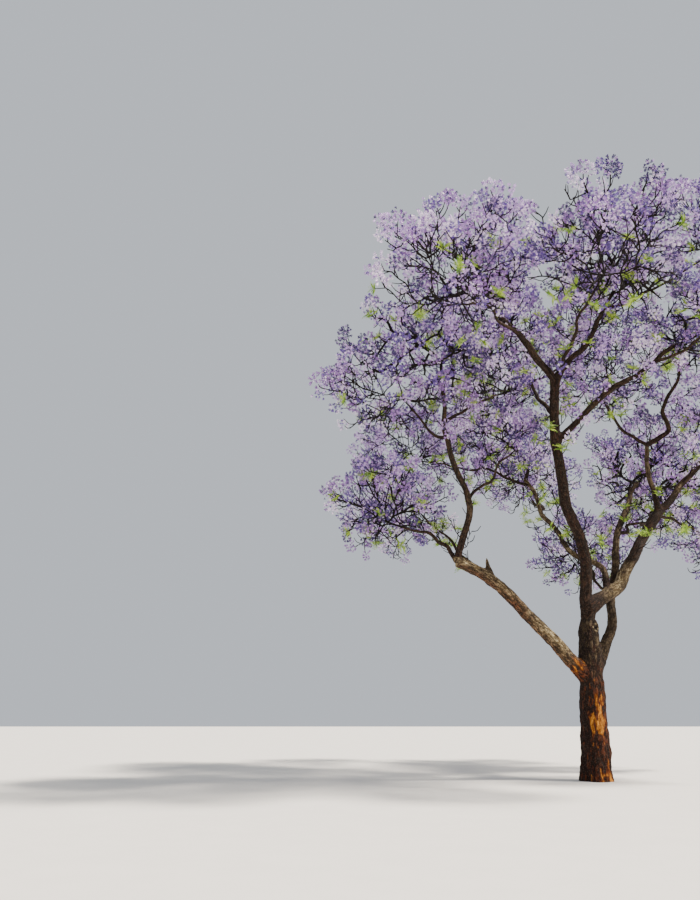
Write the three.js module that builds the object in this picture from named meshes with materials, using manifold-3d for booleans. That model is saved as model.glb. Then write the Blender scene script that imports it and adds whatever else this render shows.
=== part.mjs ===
// A jacaranda in full bloom: a fluted trunk, sinuous boughs and a wide airy crown of blossom panicles.
// Millimetres, +Z up. The origin is the centre of the flat cut at ground level, +X is the tree's right
// and +Y its back. The trunk, each limb and each mass of blossom is one closed solid.
import * as THREE from "three";
import { mergeVertices } from "three/addons/utils/BufferGeometryUtils.js";
import Module from "manifold-3d";

const wasm = await Module();
wasm.setup();

// Driving sizes
const TOUCH_GAP = 0.3; // between two solids that meet
const TRUNK_TOP = [250, 0, 3900]; // where the trunk narrows into the main stem
const TRUNK_WIDTH = 750; // at chest height
const TRUNK_HEAD_WIDTH = 560; // at its top
const TRUNK_SIDES = 16;
const BOUGH_SIDES = 8;
const LIMB_SIDES = 6; // round a limb thinner than a bough
const BOUGH_WIDTH = 150; // a limb at least this wide at its foot is a bough
const LIMB_STEP = 700; // between two rings of a limb
const LIMB_WAVE = 2100; // length of one wriggle of a limb
const LIMB_SWAY = 0.035; // how far a wriggle strays, as a share of the limb's length
const SWAY_PACE = 0.7; // a limb's wriggle up and down, in waves for each wave from side to side
const STIFF_WIDTH = 450; // a limb this wide doesn't wriggle at all
const COLLAR_SWELL = 0.35; // how much a side limb thickens where it leaves its parent
const COLLAR_REACH = 1.6; // how far that goes, in widths of the limb
const MASS_FLATNESS = 0.8; // height of a mass over its width
const MASS_OFFSET = 0.5; // from the limb's tip to the mass's centre, as a share of its spread
const MASS_LIFT = 0.7; // how much of that offset is upwards, against outwards
const MASS_MARGIN = 12; // a mass keeps this far from the wall between it and its neighbour
const STEM_SHARE = 0.25; // length of a mass's stem, as a share of its spread
const TWIGS_PER_MASS = 8;
const SPRAY_REACH = [0.8, 0.98]; // where a spray's tip lies between a mass's middle and its outside
const TWIG_BEND = 0.12; // how far a twig's middle strays, as a share of its length
const TWIG_TIP_RADIUS = 16;
const TWIG_SHARE = 0.8; // the thickest that a twig may be, as a share of its stem
const JOINT_SHIFT = 0.1; // shoots leave this share of a twig's stretch before or after its bend
const TWIG_SIDES = 3;
const STEM_SIDES = 5;
const DETOUR_COST = 0.35; // how much a long way round counts when a twig chooses where to start
// A spray's length and radius as shares of its mass's spread, how far along it is widest, how much
// it turns upwards, and how much a side spray turns aside
const SPRAY = { length: 0.38, radius: 0.145, girdle: 0.42, lift: 0.25, splay: 1.5 };
const CLEARANCE = 8; // between a twig or spray and any limb
const MERGE = 1e-3; // corners nearer than this are one corner
const SCRAP = 1.5; // faces and edges finer than this are merged away after a join
const PARALLEL = 1e-6; // two stretches are parallel when their squared sine is under this
const FIRST_MASS_SEED = 101;
const GOLDEN_ANGLE = Math.PI * (3 - Math.sqrt(5));
const UP = new THREE.Vector3(0, 0, 1);

// Rings of the trunk: height above the cut, and width as a share of the width at chest height
const TRUNK_RINGS = [
  [0, 1.13],
  [140, 1.1],
  [420, 1.05],
  [850, 1.02],
  [1350, 0.98],
  [1800, 0.92],
  [2250, 0.87],
  [2750, 0.84],
  [3200, 0.82],
  [3600, 0.78],
  [3900, TRUNK_HEAD_WIDTH / TRUNK_WIDTH],
];
// Ribs that run up the trunk: how many, how far they stand out, and which way the first one faces
const FLUTES = [
  { ribs: 3, stand: 0.035, facing: 0.5 },
  { ribs: 5, stand: 0.025, facing: 1.9 },
];
const FLARE_STAND = 2; // the ribs stand out this much more at the ground, where they turn into roots
const FLARE_HEIGHT = 300;

// Each limb: what it leaves and how far along that, its tip, the points where it turns on the way, how
// its middle bows aside, how it curls one way and back, and its width at foot and tip. A limb with a
// spread carries a mass of that half width, and lift says how much that mass rises above the limb's tip.
const LIMBS = [
  { name: "main_stem", from: "trunk", at: 1, tip: [-500, -1800, 10650],
    turns: [[230, -60, 4600], [300, -150, 5680], [230, -250, 6500], [-100, -380, 7250], [-410, -900, 9040]],
    width: [380, 280] },
  { name: "left_bough", from: "trunk", at: 0.63, tip: [-3500, -1050, 5500],
    bow: [0, 0, 330], curl: [0, 0, -120], width: [390, 310] },
  { name: "right_bough", from: "main_stem", at: 0.06, tip: [3250, 1080, 7550],
    turns: [[590, 90, 4630], [1180, 270, 4930], [1460, 370, 5090], [1610, 460, 5450], [2240, 680, 6350]],
    width: [390, 290] },
  { name: "rear_bough", from: "trunk", at: 0.64, tip: [3300, 2800, 9000],
    turns: [[560, 150, 3070], [1000, 350, 3900], [1230, 720, 4700], [1450, 950, 5360], [1900, 1100, 6930],
      [2250, 1400, 7700], [3040, 1900, 8680]],
    width: [330, 120], spread: 2300 },
  { name: "left_riser", from: "left_bough", at: 1, tip: [-3800, -2200, 10400],
    bow: [250, 0, 0], curl: [200, 0, 0], width: [210, 120], spread: 2100 },
  { name: "left_elbow_limb", from: "left_bough", at: 1, tip: [-4950, -900, 6520],
    turns: [[-3640, -1050, 6000], [-4020, -1000, 6230], [-4650, -950, 6330]], width: [130, 65],
    spread: 1650, lift: 1.2 },
  { name: "left_rear_limb", from: "left_bough", at: 0.55, tip: [-4000, 2300, 7700],
    bow: [0, 200, 0], width: [120, 60], spread: 2100, lift: 0.3 },
  { name: "riser_inner_limb", from: "left_riser", at: 0.33, tip: [-1600, -200, 8900],
    width: [95, 55], spread: 1400 },
  { name: "riser_upper_limb", from: "left_riser", at: 0.77, tip: [-1900, -900, 10600],
    bow: [0, 0, 100], width: [95, 55], spread: 1600 },
  { name: "riser_outer_limb", from: "left_riser", at: 0.68, tip: [-4700, -2500, 9400],
    bow: [0, 0, -150], width: [95, 55], spread: 1900, lift: 0.4 },
  { name: "stem_left_fork", from: "main_stem", at: 1, tip: [-2400, -3000, 12400],
    width: [240, 130], spread: 2100 },
  { name: "stem_right_fork", from: "main_stem", at: 1, tip: [1000, -3000, 12700],
    bow: [150, 0, 0], width: [190, 110], spread: 2000 },
  { name: "right_fork_limb", from: "stem_right_fork", at: 0.85, tip: [3000, -3900, 13100],
    bow: [0, 0, -150], width: [95, 55], spread: 1900, lift: 1 },
  { name: "stem_front_limb", from: "main_stem", at: 0.93, tip: [-300, -5000, 11500],
    bow: [0, 0, 250], width: [120, 60], spread: 2200 },
  { name: "stem_rear_limb", from: "main_stem", at: 0.85, tip: [-900, 500, 12700],
    bow: [0, 200, 0], width: [140, 70], spread: 2200, lift: 1.5 },
  { name: "rear_top_limb", from: "stem_rear_limb", at: 0.55, tip: [1500, 900, 13000],
    bow: [100, 0, -100], width: [90, 55], spread: 2100, lift: 1.2 },
  { name: "middle_limb", from: "main_stem", at: 0.74, tip: [3500, -2600, 11700],
    bow: [0, 0, 300], width: [200, 110], spread: 2200 },
  { name: "front_right_limb", from: "middle_limb", at: 0.55, tip: [3700, -5000, 10700],
    bow: [0, 0, 150], width: [100, 55], spread: 2100 },
  { name: "front_left_limb", from: "stem_left_fork", at: 0.5, tip: [-3500, -5200, 11000],
    bow: [0, 0, 250], width: [100, 55], spread: 2100 },
  { name: "right_outer_limb", from: "right_bough", at: 1, tip: [5800, 1800, 10500],
    bow: [100, 0, -150], width: [240, 120], spread: 2200 },
  { name: "right_riser", from: "right_bough", at: 0.97, tip: [3000, 700, 9600],
    bow: [-50, 0, 0], curl: [60, 0, 0], width: [180, 130] },
  { name: "right_top_limb", from: "right_riser", at: 1, tip: [3700, -800, 11700],
    turns: [[3580, 430, 9950], [3430, 150, 10560], [3850, -350, 11300]], width: [170, 85],
    spread: 2000, lift: 1.2 },
  { name: "right_inner_limb", from: "right_riser", at: 1, tip: [1700, 400, 11000],
    bow: [-200, 0, -100], width: [115, 60], spread: 1900, lift: 1.5 },
  { name: "right_low_limb", from: "right_bough", at: 0.92, tip: [5100, 2200, 6950],
    bow: [0, 0, 250], width: [95, 55], spread: 2000, lift: -0.1 },
  { name: "right_front_limb", from: "right_outer_limb", at: 0.35, tip: [5900, -1600, 9600],
    bow: [0, 0, 150], width: [100, 55], spread: 2000, lift: 0.4 },
  { name: "rear_right_limb", from: "rear_bough", at: 0.6, tip: [4900, 5000, 8700],
    bow: [0, 0, -150], width: [110, 60], spread: 2100, lift: 0.4 },
  { name: "rear_low_limb", from: "rear_bough", at: 0.35, tip: [1900, 5000, 7100],
    bow: [0, 0, -200], width: [110, 60], spread: 2000, lift: 0.2 },
  { name: "cross_limb", from: "right_bough", at: 0.2, tip: [-600, 2100, 8900],
    turns: [[1090, 520, 5600], [880, 680, 5840], [430, 900, 5990], [0, 1150, 6540], [-100, 1350, 7250]],
    width: [190, 130] },
  { name: "cross_top_limb", from: "cross_limb", at: 1, tip: [-1000, 2500, 11200],
    bow: [300, 0, 0], width: [110, 60], spread: 2000, lift: 0.9 },
  { name: "cross_left_limb", from: "cross_limb", at: 0.95, tip: [-3600, 3200, 9900],
    bow: [0, 0, 150], width: [95, 55], spread: 2200 },
  { name: "cross_rear_limb", from: "cross_limb", at: 0.6, tip: [200, 5000, 9800],
    bow: [0, 0, -150], width: [110, 60], spread: 2200 },
];

const vector = (xyz = [0, 0, 0]) => new THREE.Vector3(...xyz);

// A stream of numbers from 0 to 1 that is the same for the same seed
function seeded(seed) {
  let state = seed >>> 0;
  return () => {
    state = (state + 0x6d2b79f5) >>> 0;
    let mixed = Math.imul(state ^ (state >>> 15), state | 1);
    mixed ^= mixed + Math.imul(mixed ^ (mixed >>> 7), mixed | 61);
    return ((mixed ^ (mixed >>> 14)) >>> 0) / 2 ** 32;
  };
}

// Two directions square to each other and to the given one
function sideways(direction) {
  const across = Math.abs(direction.z) < 0.9 ? UP : new THREE.Vector3(1, 0, 0);
  const first = new THREE.Vector3().crossVectors(across, direction).normalize();
  return [first, new THREE.Vector3().crossVectors(direction, first).normalize()];
}

// A closed skin over rings of points, all with the same count, with a fan over each end
function skin(rings) {
  const sides = rings[0].length;
  const corners = rings.flat();
  const faces = [];
  for (let ring = 0; ring + 1 < rings.length; ring++) {
    for (let side = 0; side < sides; side++) {
      const [a, b] = [ring * sides + side, ring * sides + ((side + 1) % sides)];
      faces.push(a, b, b + sides, a, b + sides, a + sides);
    }
  }
  const last = (rings.length - 1) * sides;
  for (let side = 1; side + 1 < sides; side++) {
    faces.push(0, side + 1, side, last, last + side, last + side + 1);
  }
  return new THREE.BufferGeometry().setFromPoints(corners).setIndex(faces);
}

// Rings of a given radius round each point of a path, turned along with it so that the skin doesn't
// twist. Where grow is given, the skin stands out that much further all round, ends too.
function ringsAlong(path, radii, sides, grow = 0) {
  let [across] = sideways(path[1].clone().sub(path[0]).normalize());
  return path.map((point, i) => {
    const behind = path[Math.max(i - 1, 0)];
    const ahead = path[Math.min(i + 1, path.length - 1)];
    const along = ahead.clone().sub(behind).normalize();
    across = across.clone().addScaledVector(along, -across.dot(along)).normalize();
    const beside = new THREE.Vector3().crossVectors(along, across);
    const outwards = i === 0 ? -grow : i === path.length - 1 ? grow : 0;
    const radius = radii[i] + grow;
    return Array.from({ length: sides }, (_, side) => {
      const turn = (2 * Math.PI * side) / sides;
      return point
        .clone()
        .addScaledVector(along, outwards)
        .addScaledVector(across, radius * Math.cos(turn))
        .addScaledVector(beside, radius * Math.sin(turn));
    });
  });
}

// The trunk's half width on one bearing at one height, flutes and root flare included
function trunkRadius(height, share, bearing) {
  const flare = 1 + FLARE_STAND * Math.exp(-height / FLARE_HEIGHT);
  const ribs = FLUTES.reduce((sum, f) => sum + f.stand * Math.cos(f.ribs * (bearing - f.facing)), 0);
  return (TRUNK_WIDTH / 2) * share * (1 + flare * ribs);
}

function trunkRings(grow) {
  return TRUNK_RINGS.map(([height, share], i) => {
    const top = i === TRUNK_RINGS.length - 1;
    const rise = height / TRUNK_TOP[2];
    return Array.from({ length: TRUNK_SIDES }, (_, side) => {
      const bearing = (2 * Math.PI * side) / TRUNK_SIDES;
      const radius = trunkRadius(height, share, bearing) + grow;
      return new THREE.Vector3(
        TRUNK_TOP[0] * rise + radius * Math.cos(bearing),
        TRUNK_TOP[1] * rise + radius * Math.sin(bearing),
        height + (top ? grow : 0),
      );
    });
  });
}

// A geometry as a manifold-3d solid, without the faces that close up where a ring shrinks to a point
function solid(geometry) {
  const merged = mergeVertices(geometry, MERGE);
  const corners = merged.index.array;
  const faces = [];
  for (let i = 0; i < corners.length; i += 3) {
    const [a, b, c] = corners.slice(i, i + 3);
    if (a !== b && b !== c && c !== a) {
      faces.push(a, b, c);
    }
  }
  return new wasm.Manifold(
    new wasm.Mesh({
      numProp: 3,
      vertProperties: merged.attributes.position.array,
      triVerts: new Uint32Array(faces),
    }),
  );
}

// The biggest body of a solid, with any loose scrap dropped
function biggestBody(made) {
  return made.decompose().reduce((best, body) => (body.volume() > best.volume() ? body : best));
}

// The points of a limb's middle line: from foot to tip by its turns, then bowed, curled and wriggled
function limbPath(start, tip, limb, seed) {
  const corners = [start, ...(limb.turns ?? []).map(vector), tip];
  const straights = new THREE.CurvePath();
  corners.slice(1).forEach((corner, i) => straights.add(new THREE.LineCurve3(corners[i], corner)));
  const length = straights.getLength();
  const [first, second] = sideways(tip.clone().sub(start).normalize());
  const steps = Math.max(3, Math.round(length / LIMB_STEP));
  const random = seeded(seed);
  const phase = 2 * Math.PI * random();
  const waves = Math.max(1, length / LIMB_WAVE);
  const limber = 1 - limb.width[0] / STIFF_WIDTH;
  return Array.from({ length: steps + 1 }, (_, i) => {
    const t = i / steps;
    const sway = limber * LIMB_SWAY * length * Math.sin(Math.PI * t);
    const turn = 2 * Math.PI * waves * t + phase;
    return straights
      .getPoint(t)
      .addScaledVector(vector(limb.bow), 4 * t * (1 - t))
      .addScaledVector(vector(limb.curl), Math.sin(2 * Math.PI * t))
      .addScaledVector(first, sway * Math.sin(turn))
      .addScaledVector(second, sway * Math.cos(SWAY_PACE * turn));
  });
}

// The point a share of the way along a path
function alongPath(path, share) {
  const place = share * (path.length - 1);
  const i = Math.min(Math.floor(place), path.length - 2);
  return path[i].clone().lerp(path[i + 1], place - i);
}

function limbRadii(path, limb) {
  const [foot, tip] = limb.width;
  const length = path[0].distanceTo(path.at(-1));
  const swell = limb.at < 1 ? COLLAR_SWELL : 0;
  return path.map((_, i) => {
    const t = i / (path.length - 1);
    const collar = swell * Math.exp((-t * length) / (COLLAR_REACH * foot));
    return (THREE.MathUtils.lerp(foot, tip, t) / 2) * (1 + collar);
  });
}

// A limb's solid, its foot sunk into its parent
function limbSolid(path, radii, limb, grow = 0) {
  const foot = path[0].clone().sub(path[1]).setLength(radii[0] / 2).add(path[0]);
  const sides = limb.width[0] < BOUGH_WIDTH ? LIMB_SIDES : BOUGH_SIDES;
  return solid(skin(ringsAlong([foot, ...path.slice(1)], radii, sides, grow)));
}

// Every limb, from the trunk outwards, cut clear of the ones before it
function growLimbs() {
  const trunkPath = [vector(), vector(TRUNK_TOP)];
  const grown = new Map([["trunk", { path: trunkPath, radii: [TRUNK_WIDTH / 2, TRUNK_HEAD_WIDTH / 2] }]]);
  const cutters = [solid(skin(trunkRings(TOUCH_GAP)))];
  LIMBS.forEach((limb, index) => {
    const start = alongPath(grown.get(limb.from).path, limb.at);
    const path = limbPath(start, vector(limb.tip), limb, index + 1);
    const radii = limbRadii(path, limb);
    let body = limbSolid(path, radii, limb);
    for (const cutter of cutters) {
      body = body.subtract(cutter);
    }
    grown.set(limb.name, { path, radii, body: biggestBody(body), limb });
    cutters.push(limbSolid(path, radii, limb, TOUCH_GAP));
  });
  return grown;
}

// The masses that the limbs carry: a stem from the limb's tip, and an ellipsoid of space round a middle
function placeMasses(grown) {
  return LIMBS.filter((limb) => limb.spread).map((limb, index) => {
    const { path, radii } = grown.get(limb.name);
    const tip = path.at(-1);
    const along = tip.clone().sub(path.at(-2)).normalize();
    const outwards = new THREE.Vector3(tip.x, tip.y, 0).normalize();
    const lift = limb.lift ?? MASS_LIFT;
    const offset = outwards.addScaledVector(UP, lift).setLength(MASS_OFFSET * limb.spread);
    return {
      name: limb.name.replace(/_(limb|fork)$/, "") + "_blossom",
      seed: FIRST_MASS_SEED + index,
      root: tip.clone().addScaledVector(along, TOUCH_GAP),
      along,
      radius: radii.at(-1),
      middle: tip.clone().add(offset),
      size: new THREE.Vector3(limb.spread, limb.spread, limb.spread * MASS_FLATNESS),
    };
  });
}

// How far outside a mass's sphere a point is, squared, in a frame where the mass is a sphere
function power(point, mass) {
  const away = point.clone().sub(mass.middle);
  away.z /= MASS_FLATNESS;
  return away.lengthSq() - mass.size.x ** 2;
}

// Whether a point is in a mass's own space: inside its ellipsoid, and on its side of every neighbour
function owns(mass, masses, point) {
  const own = power(point, mass);
  return (
    own < 0 &&
    masses.every((other) => {
      const margin = 2 * MASS_MARGIN * other.middle.distanceTo(mass.middle);
      return other === mass || own + margin < power(point, other);
    })
  );
}

// The least distance between two straight stretches
function stretchGap(a, b, c, d) {
  const [u, v, w] = [b.clone().sub(a), d.clone().sub(c), a.clone().sub(c)];
  const [uu, uv, vv, uw, vw] = [u.dot(u), u.dot(v), v.dot(v), u.dot(w), v.dot(w)];
  const clamp = THREE.MathUtils.clamp;
  const spread = uu * vv - uv * uv;
  let s = spread > PARALLEL * uu * vv ? clamp((uv * vw - vv * uw) / spread, 0, 1) : 0;
  const t = clamp((uv * s + vw) / vv, 0, 1);
  s = clamp((uv * t - uw) / uu, 0, 1);
  return a.clone().addScaledVector(u, s).distanceTo(c.clone().addScaledVector(v, t));
}

// Whether a stretch of a given radius keeps clear of every limb
function clearOfLimbs(grown, a, b, radius) {
  for (const { path, radii } of grown.values()) {
    for (let i = 0; i + 1 < path.length; i++) {
      const needed = radius + Math.max(radii[i], radii[i + 1]) + CLEARANCE;
      if (stretchGap(a, b, path[i], path[i + 1]) < needed) {
        return false;
      }
    }
  }
  return true;
}

// A spray of blossom: the last rings of a shoot, which swell to a girdle and end in a point
function sprayRings(root, along, mass) {
  const length = SPRAY.length * mass.size.x;
  return {
    path: [SPRAY.girdle, 1].map((share) => root.clone().addScaledVector(along, share * length)),
    radii: [SPRAY.radius * mass.size.x, 0],
  };
}

// Where a mass's sprays reach to, and which way they point: a golden-angle spiral over its ellipsoid
function sprayGoals(mass, count, random) {
  return Array.from({ length: count }, (_, i) => {
    const height = 1 - (2 * (i + 0.5)) / count;
    const ring = Math.sqrt(1 - height * height);
    const turn = i * GOLDEN_ANGLE + mass.seed;
    const depth = THREE.MathUtils.lerp(...SPRAY_REACH, random());
    const reach = new THREE.Vector3(ring * Math.cos(turn), ring * Math.sin(turn), height)
      .multiply(mass.size)
      .multiplyScalar(depth);
    const along = reach.clone().normalize().addScaledVector(UP, SPRAY.lift).normalize();
    const root = reach.add(mass.middle).addScaledVector(along, -SPRAY.length * mass.size.x);
    return { root, along };
  });
}

// Whether a shoot's rings past its first stay in the mass's space, and all of it is clear of limbs
function fits({ path, radii }, mass, masses, grown) {
  const corners = ringsAlong(path, radii, TWIG_SIDES).slice(1).flat();
  const wide = (i) => Math.max(radii[i], radii[i + 1]);
  return (
    corners.every((corner) => owns(mass, masses, corner)) &&
    path.slice(1).every((end, i) => clearOfLimbs(grown, path[i], end, wide(i)))
  );
}

// The shoots of a mass. Each twig runs from the handiest joint of those before it to its goal and
// ends in a spray, and another spray stands out from its middle. What would leave the mass's space
// or touch a limb is skipped.
function growShoots(mass, masses, grown) {
  const random = seeded(mass.seed);
  const fork = mass.root.clone().addScaledVector(mass.along, STEM_SHARE * mass.size.x);
  const joints = [{ point: fork, way: 0, from: null, load: 1 }];
  const shoots = [];
  const goals = sprayGoals(mass, TWIGS_PER_MASS, random);
  goals.sort((a, b) => a.root.distanceTo(fork) - b.root.distanceTo(fork));
  for (const { root: goal, along } of goals) {
    const bend = [random() - 0.5, random() - 0.5];
    const cost = (joint) => joint.point.distanceTo(goal) + DETOUR_COST * joint.way;
    const from = joints.reduce((best, joint) => (cost(joint) < cost(best) ? joint : best));
    const chord = goal.clone().sub(from.point);
    const length = chord.length();
    const [across, beside] = sideways(chord.normalize());
    const middle = from.point
      .clone()
      .lerp(goal, 0.5)
      .addScaledVector(across, 2 * bend[0] * TWIG_BEND * length)
      .addScaledVector(beside, 2 * bend[1] * TWIG_BEND * length);
    const spray = sprayRings(goal, along, mass);
    const twig = {
      path: [from.point, middle, goal, ...spray.path],
      radii: [TWIG_TIP_RADIUS, TWIG_TIP_RADIUS, TWIG_TIP_RADIUS, ...spray.radii],
    };
    if (!fits(twig, mass, masses, grown)) {
      continue;
    }
    const half = { point: middle.clone().lerp(from.point, JOINT_SHIFT), way: from.way + length / 2 };
    const end = { point: goal.clone().lerp(middle, JOINT_SHIFT), way: from.way + length };
    Object.assign(half, { from, load: 0 });
    Object.assign(end, { from: half, load: 0 });
    joints.push(half, end);
    shoots.push({ ...twig, joints: [half, half, end] });
    for (let joint = end; joint; joint = joint.from) {
      joint.load += 1;
    }
    const splay = across.multiplyScalar(bend[1] > 0 ? SPRAY.splay : -SPRAY.splay);
    const aside = splay.add(chord).addScaledVector(UP, SPRAY.lift).normalize();
    const sideRoot = middle.clone().lerp(goal, JOINT_SHIFT);
    const sideSpray = sprayRings(sideRoot, aside, mass);
    const side = { path: [sideRoot, ...sideSpray.path], radii: [0, ...sideSpray.radii], joints: [] };
    if (fits(side, mass, masses, grown)) {
      shoots.push(side);
    }
  }
  return { fork, joints, shoots };
}

// A twig thickens with the square root of the twigs it carries, and is never thicker than its stem
function twigRadius(joint, mass) {
  return Math.min(TWIG_TIP_RADIUS * Math.sqrt(joint.load), TWIG_SHARE * mass.radius);
}

function massSolid(mass, masses, grown) {
  const { fork, joints, shoots } = growShoots(mass, masses, grown);
  const headRadius = twigRadius(joints[0], mass);
  const stemHead = fork.clone().addScaledVector(mass.along, headRadius);
  let body = solid(skin(ringsAlong([mass.root, stemHead], [mass.radius, headRadius], STEM_SIDES)));
  for (const shoot of shoots) {
    const radii = shoot.radii.map((r, i) => (shoot.joints[i] ? twigRadius(shoot.joints[i], mass) : r));
    body = body.add(solid(skin(ringsAlong(shoot.path, radii, TWIG_SIDES))));
  }
  return biggestBody(body.simplify(SCRAP));
}

function bark(colour) {
  return new THREE.MeshStandardMaterial({ color: colour, roughness: 0.95, metalness: 0 });
}

function named(name, made, material) {
  const mesh = made.getMesh();
  const geometry = new THREE.BufferGeometry()
    .setAttribute("position", new THREE.BufferAttribute(mesh.vertProperties, 3))
    .setIndex(new THREE.BufferAttribute(mesh.triVerts, 1));
  geometry.computeVertexNormals();
  const node = new THREE.Mesh(geometry, material);
  node.name = name;
  return node;
}

function buildTree() {
  const trunkBark = bark(0x4a3226);
  const limbBark = bark(0x6b5a4a);
  const blossom = new THREE.MeshStandardMaterial({ color: 0x9d86c9, roughness: 0.8, metalness: 0 });
  const tree = new THREE.Group();
  const grown = growLimbs();
  const masses = placeMasses(grown);
  tree.add(named("trunk", solid(skin(trunkRings(0))), trunkBark));
  for (const { body, limb } of grown.values()) {
    if (limb) {
      tree.add(named(limb.name, body, limbBark));
    }
  }
  for (const mass of masses) {
    tree.add(named(mass.name, massSolid(mass, masses, grown), blossom));
  }
  return tree;
}

export default buildTree();
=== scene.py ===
"""A jacaranda in full bloom, dressed over its frame of trunk, limbs and masses of blossom."""
import math
import re

import bpy
import numpy as np
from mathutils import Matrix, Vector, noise


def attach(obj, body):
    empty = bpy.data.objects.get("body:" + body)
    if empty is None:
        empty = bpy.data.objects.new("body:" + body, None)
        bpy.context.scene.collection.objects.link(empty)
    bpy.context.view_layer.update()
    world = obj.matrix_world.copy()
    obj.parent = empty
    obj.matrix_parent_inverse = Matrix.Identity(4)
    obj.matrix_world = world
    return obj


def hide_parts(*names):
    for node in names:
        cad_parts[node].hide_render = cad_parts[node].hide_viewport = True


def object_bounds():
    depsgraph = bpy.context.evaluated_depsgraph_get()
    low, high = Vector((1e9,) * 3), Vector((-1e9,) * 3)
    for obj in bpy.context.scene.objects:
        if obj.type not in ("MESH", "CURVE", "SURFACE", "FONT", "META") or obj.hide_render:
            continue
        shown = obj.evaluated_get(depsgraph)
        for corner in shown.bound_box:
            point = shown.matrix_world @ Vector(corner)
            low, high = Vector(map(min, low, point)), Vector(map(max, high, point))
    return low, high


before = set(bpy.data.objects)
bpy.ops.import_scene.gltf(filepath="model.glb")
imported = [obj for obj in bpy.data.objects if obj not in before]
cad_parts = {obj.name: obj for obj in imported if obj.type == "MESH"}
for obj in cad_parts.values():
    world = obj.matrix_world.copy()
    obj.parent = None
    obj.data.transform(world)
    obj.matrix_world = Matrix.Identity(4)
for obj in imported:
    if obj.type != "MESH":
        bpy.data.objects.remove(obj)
cad_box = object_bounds()

MM = 0.001  # every size below is in millimetres, as in the part's source, and Blender works in metres
UP = np.array([0.0, 0.0, 1.0])
EAST = np.array([1.0, 0.0, 0.0])
GOLDEN_ANGLE = math.pi * (3 - math.sqrt(5))
WORD = 0xFFFFFFFF

# Sizes shared with the part's source
TOUCH_GAP = 0.3
TRUNK_TOP = np.array([250.0, 0.0, 3900.0])
TRUNK_WIDTH = 750
TRUNK_HEAD_WIDTH = 560
BOUGH_WIDTH = 150
LIMB_STEP = 700
LIMB_WAVE = 2100
LIMB_SWAY = 0.035
SWAY_PACE = 0.7
STIFF_WIDTH = 450
COLLAR_SWELL = 0.35
COLLAR_REACH = 1.6
MASS_FLATNESS = 0.8
MASS_OFFSET = 0.5
MASS_LIFT = 0.7
MASS_MARGIN = 12
STEM_SHARE = 0.25
TWIG_BEND = 0.12
TWIG_TIP_RADIUS = 16
TWIG_SHARE = 0.8
JOINT_SHIFT = 0.1
TWIG_SIDES = 3
DETOUR_COST = 0.35
SPRAY_RADIUS = 0.145
SPRAY_GIRDLE = 0.42
SPRAY_LIFT = 0.25
SPRAY_SPLAY = 1.5
CLEARANCE = 8
FIRST_MASS_SEED = 101
TRUNK_RINGS = [
    (0, 1.13), (140, 1.1), (420, 1.05), (850, 1.02), (1350, 0.98), (1800, 0.92),
    (2250, 0.87), (2750, 0.84), (3200, 0.82), (3600, 0.78), (3900, TRUNK_HEAD_WIDTH / TRUNK_WIDTH),
]
FLUTES = [dict(ribs=3, stand=0.035, facing=0.5), dict(ribs=5, stand=0.025, facing=1.9)]
FLARE_STAND = 2
FLARE_HEIGHT = 300
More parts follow.
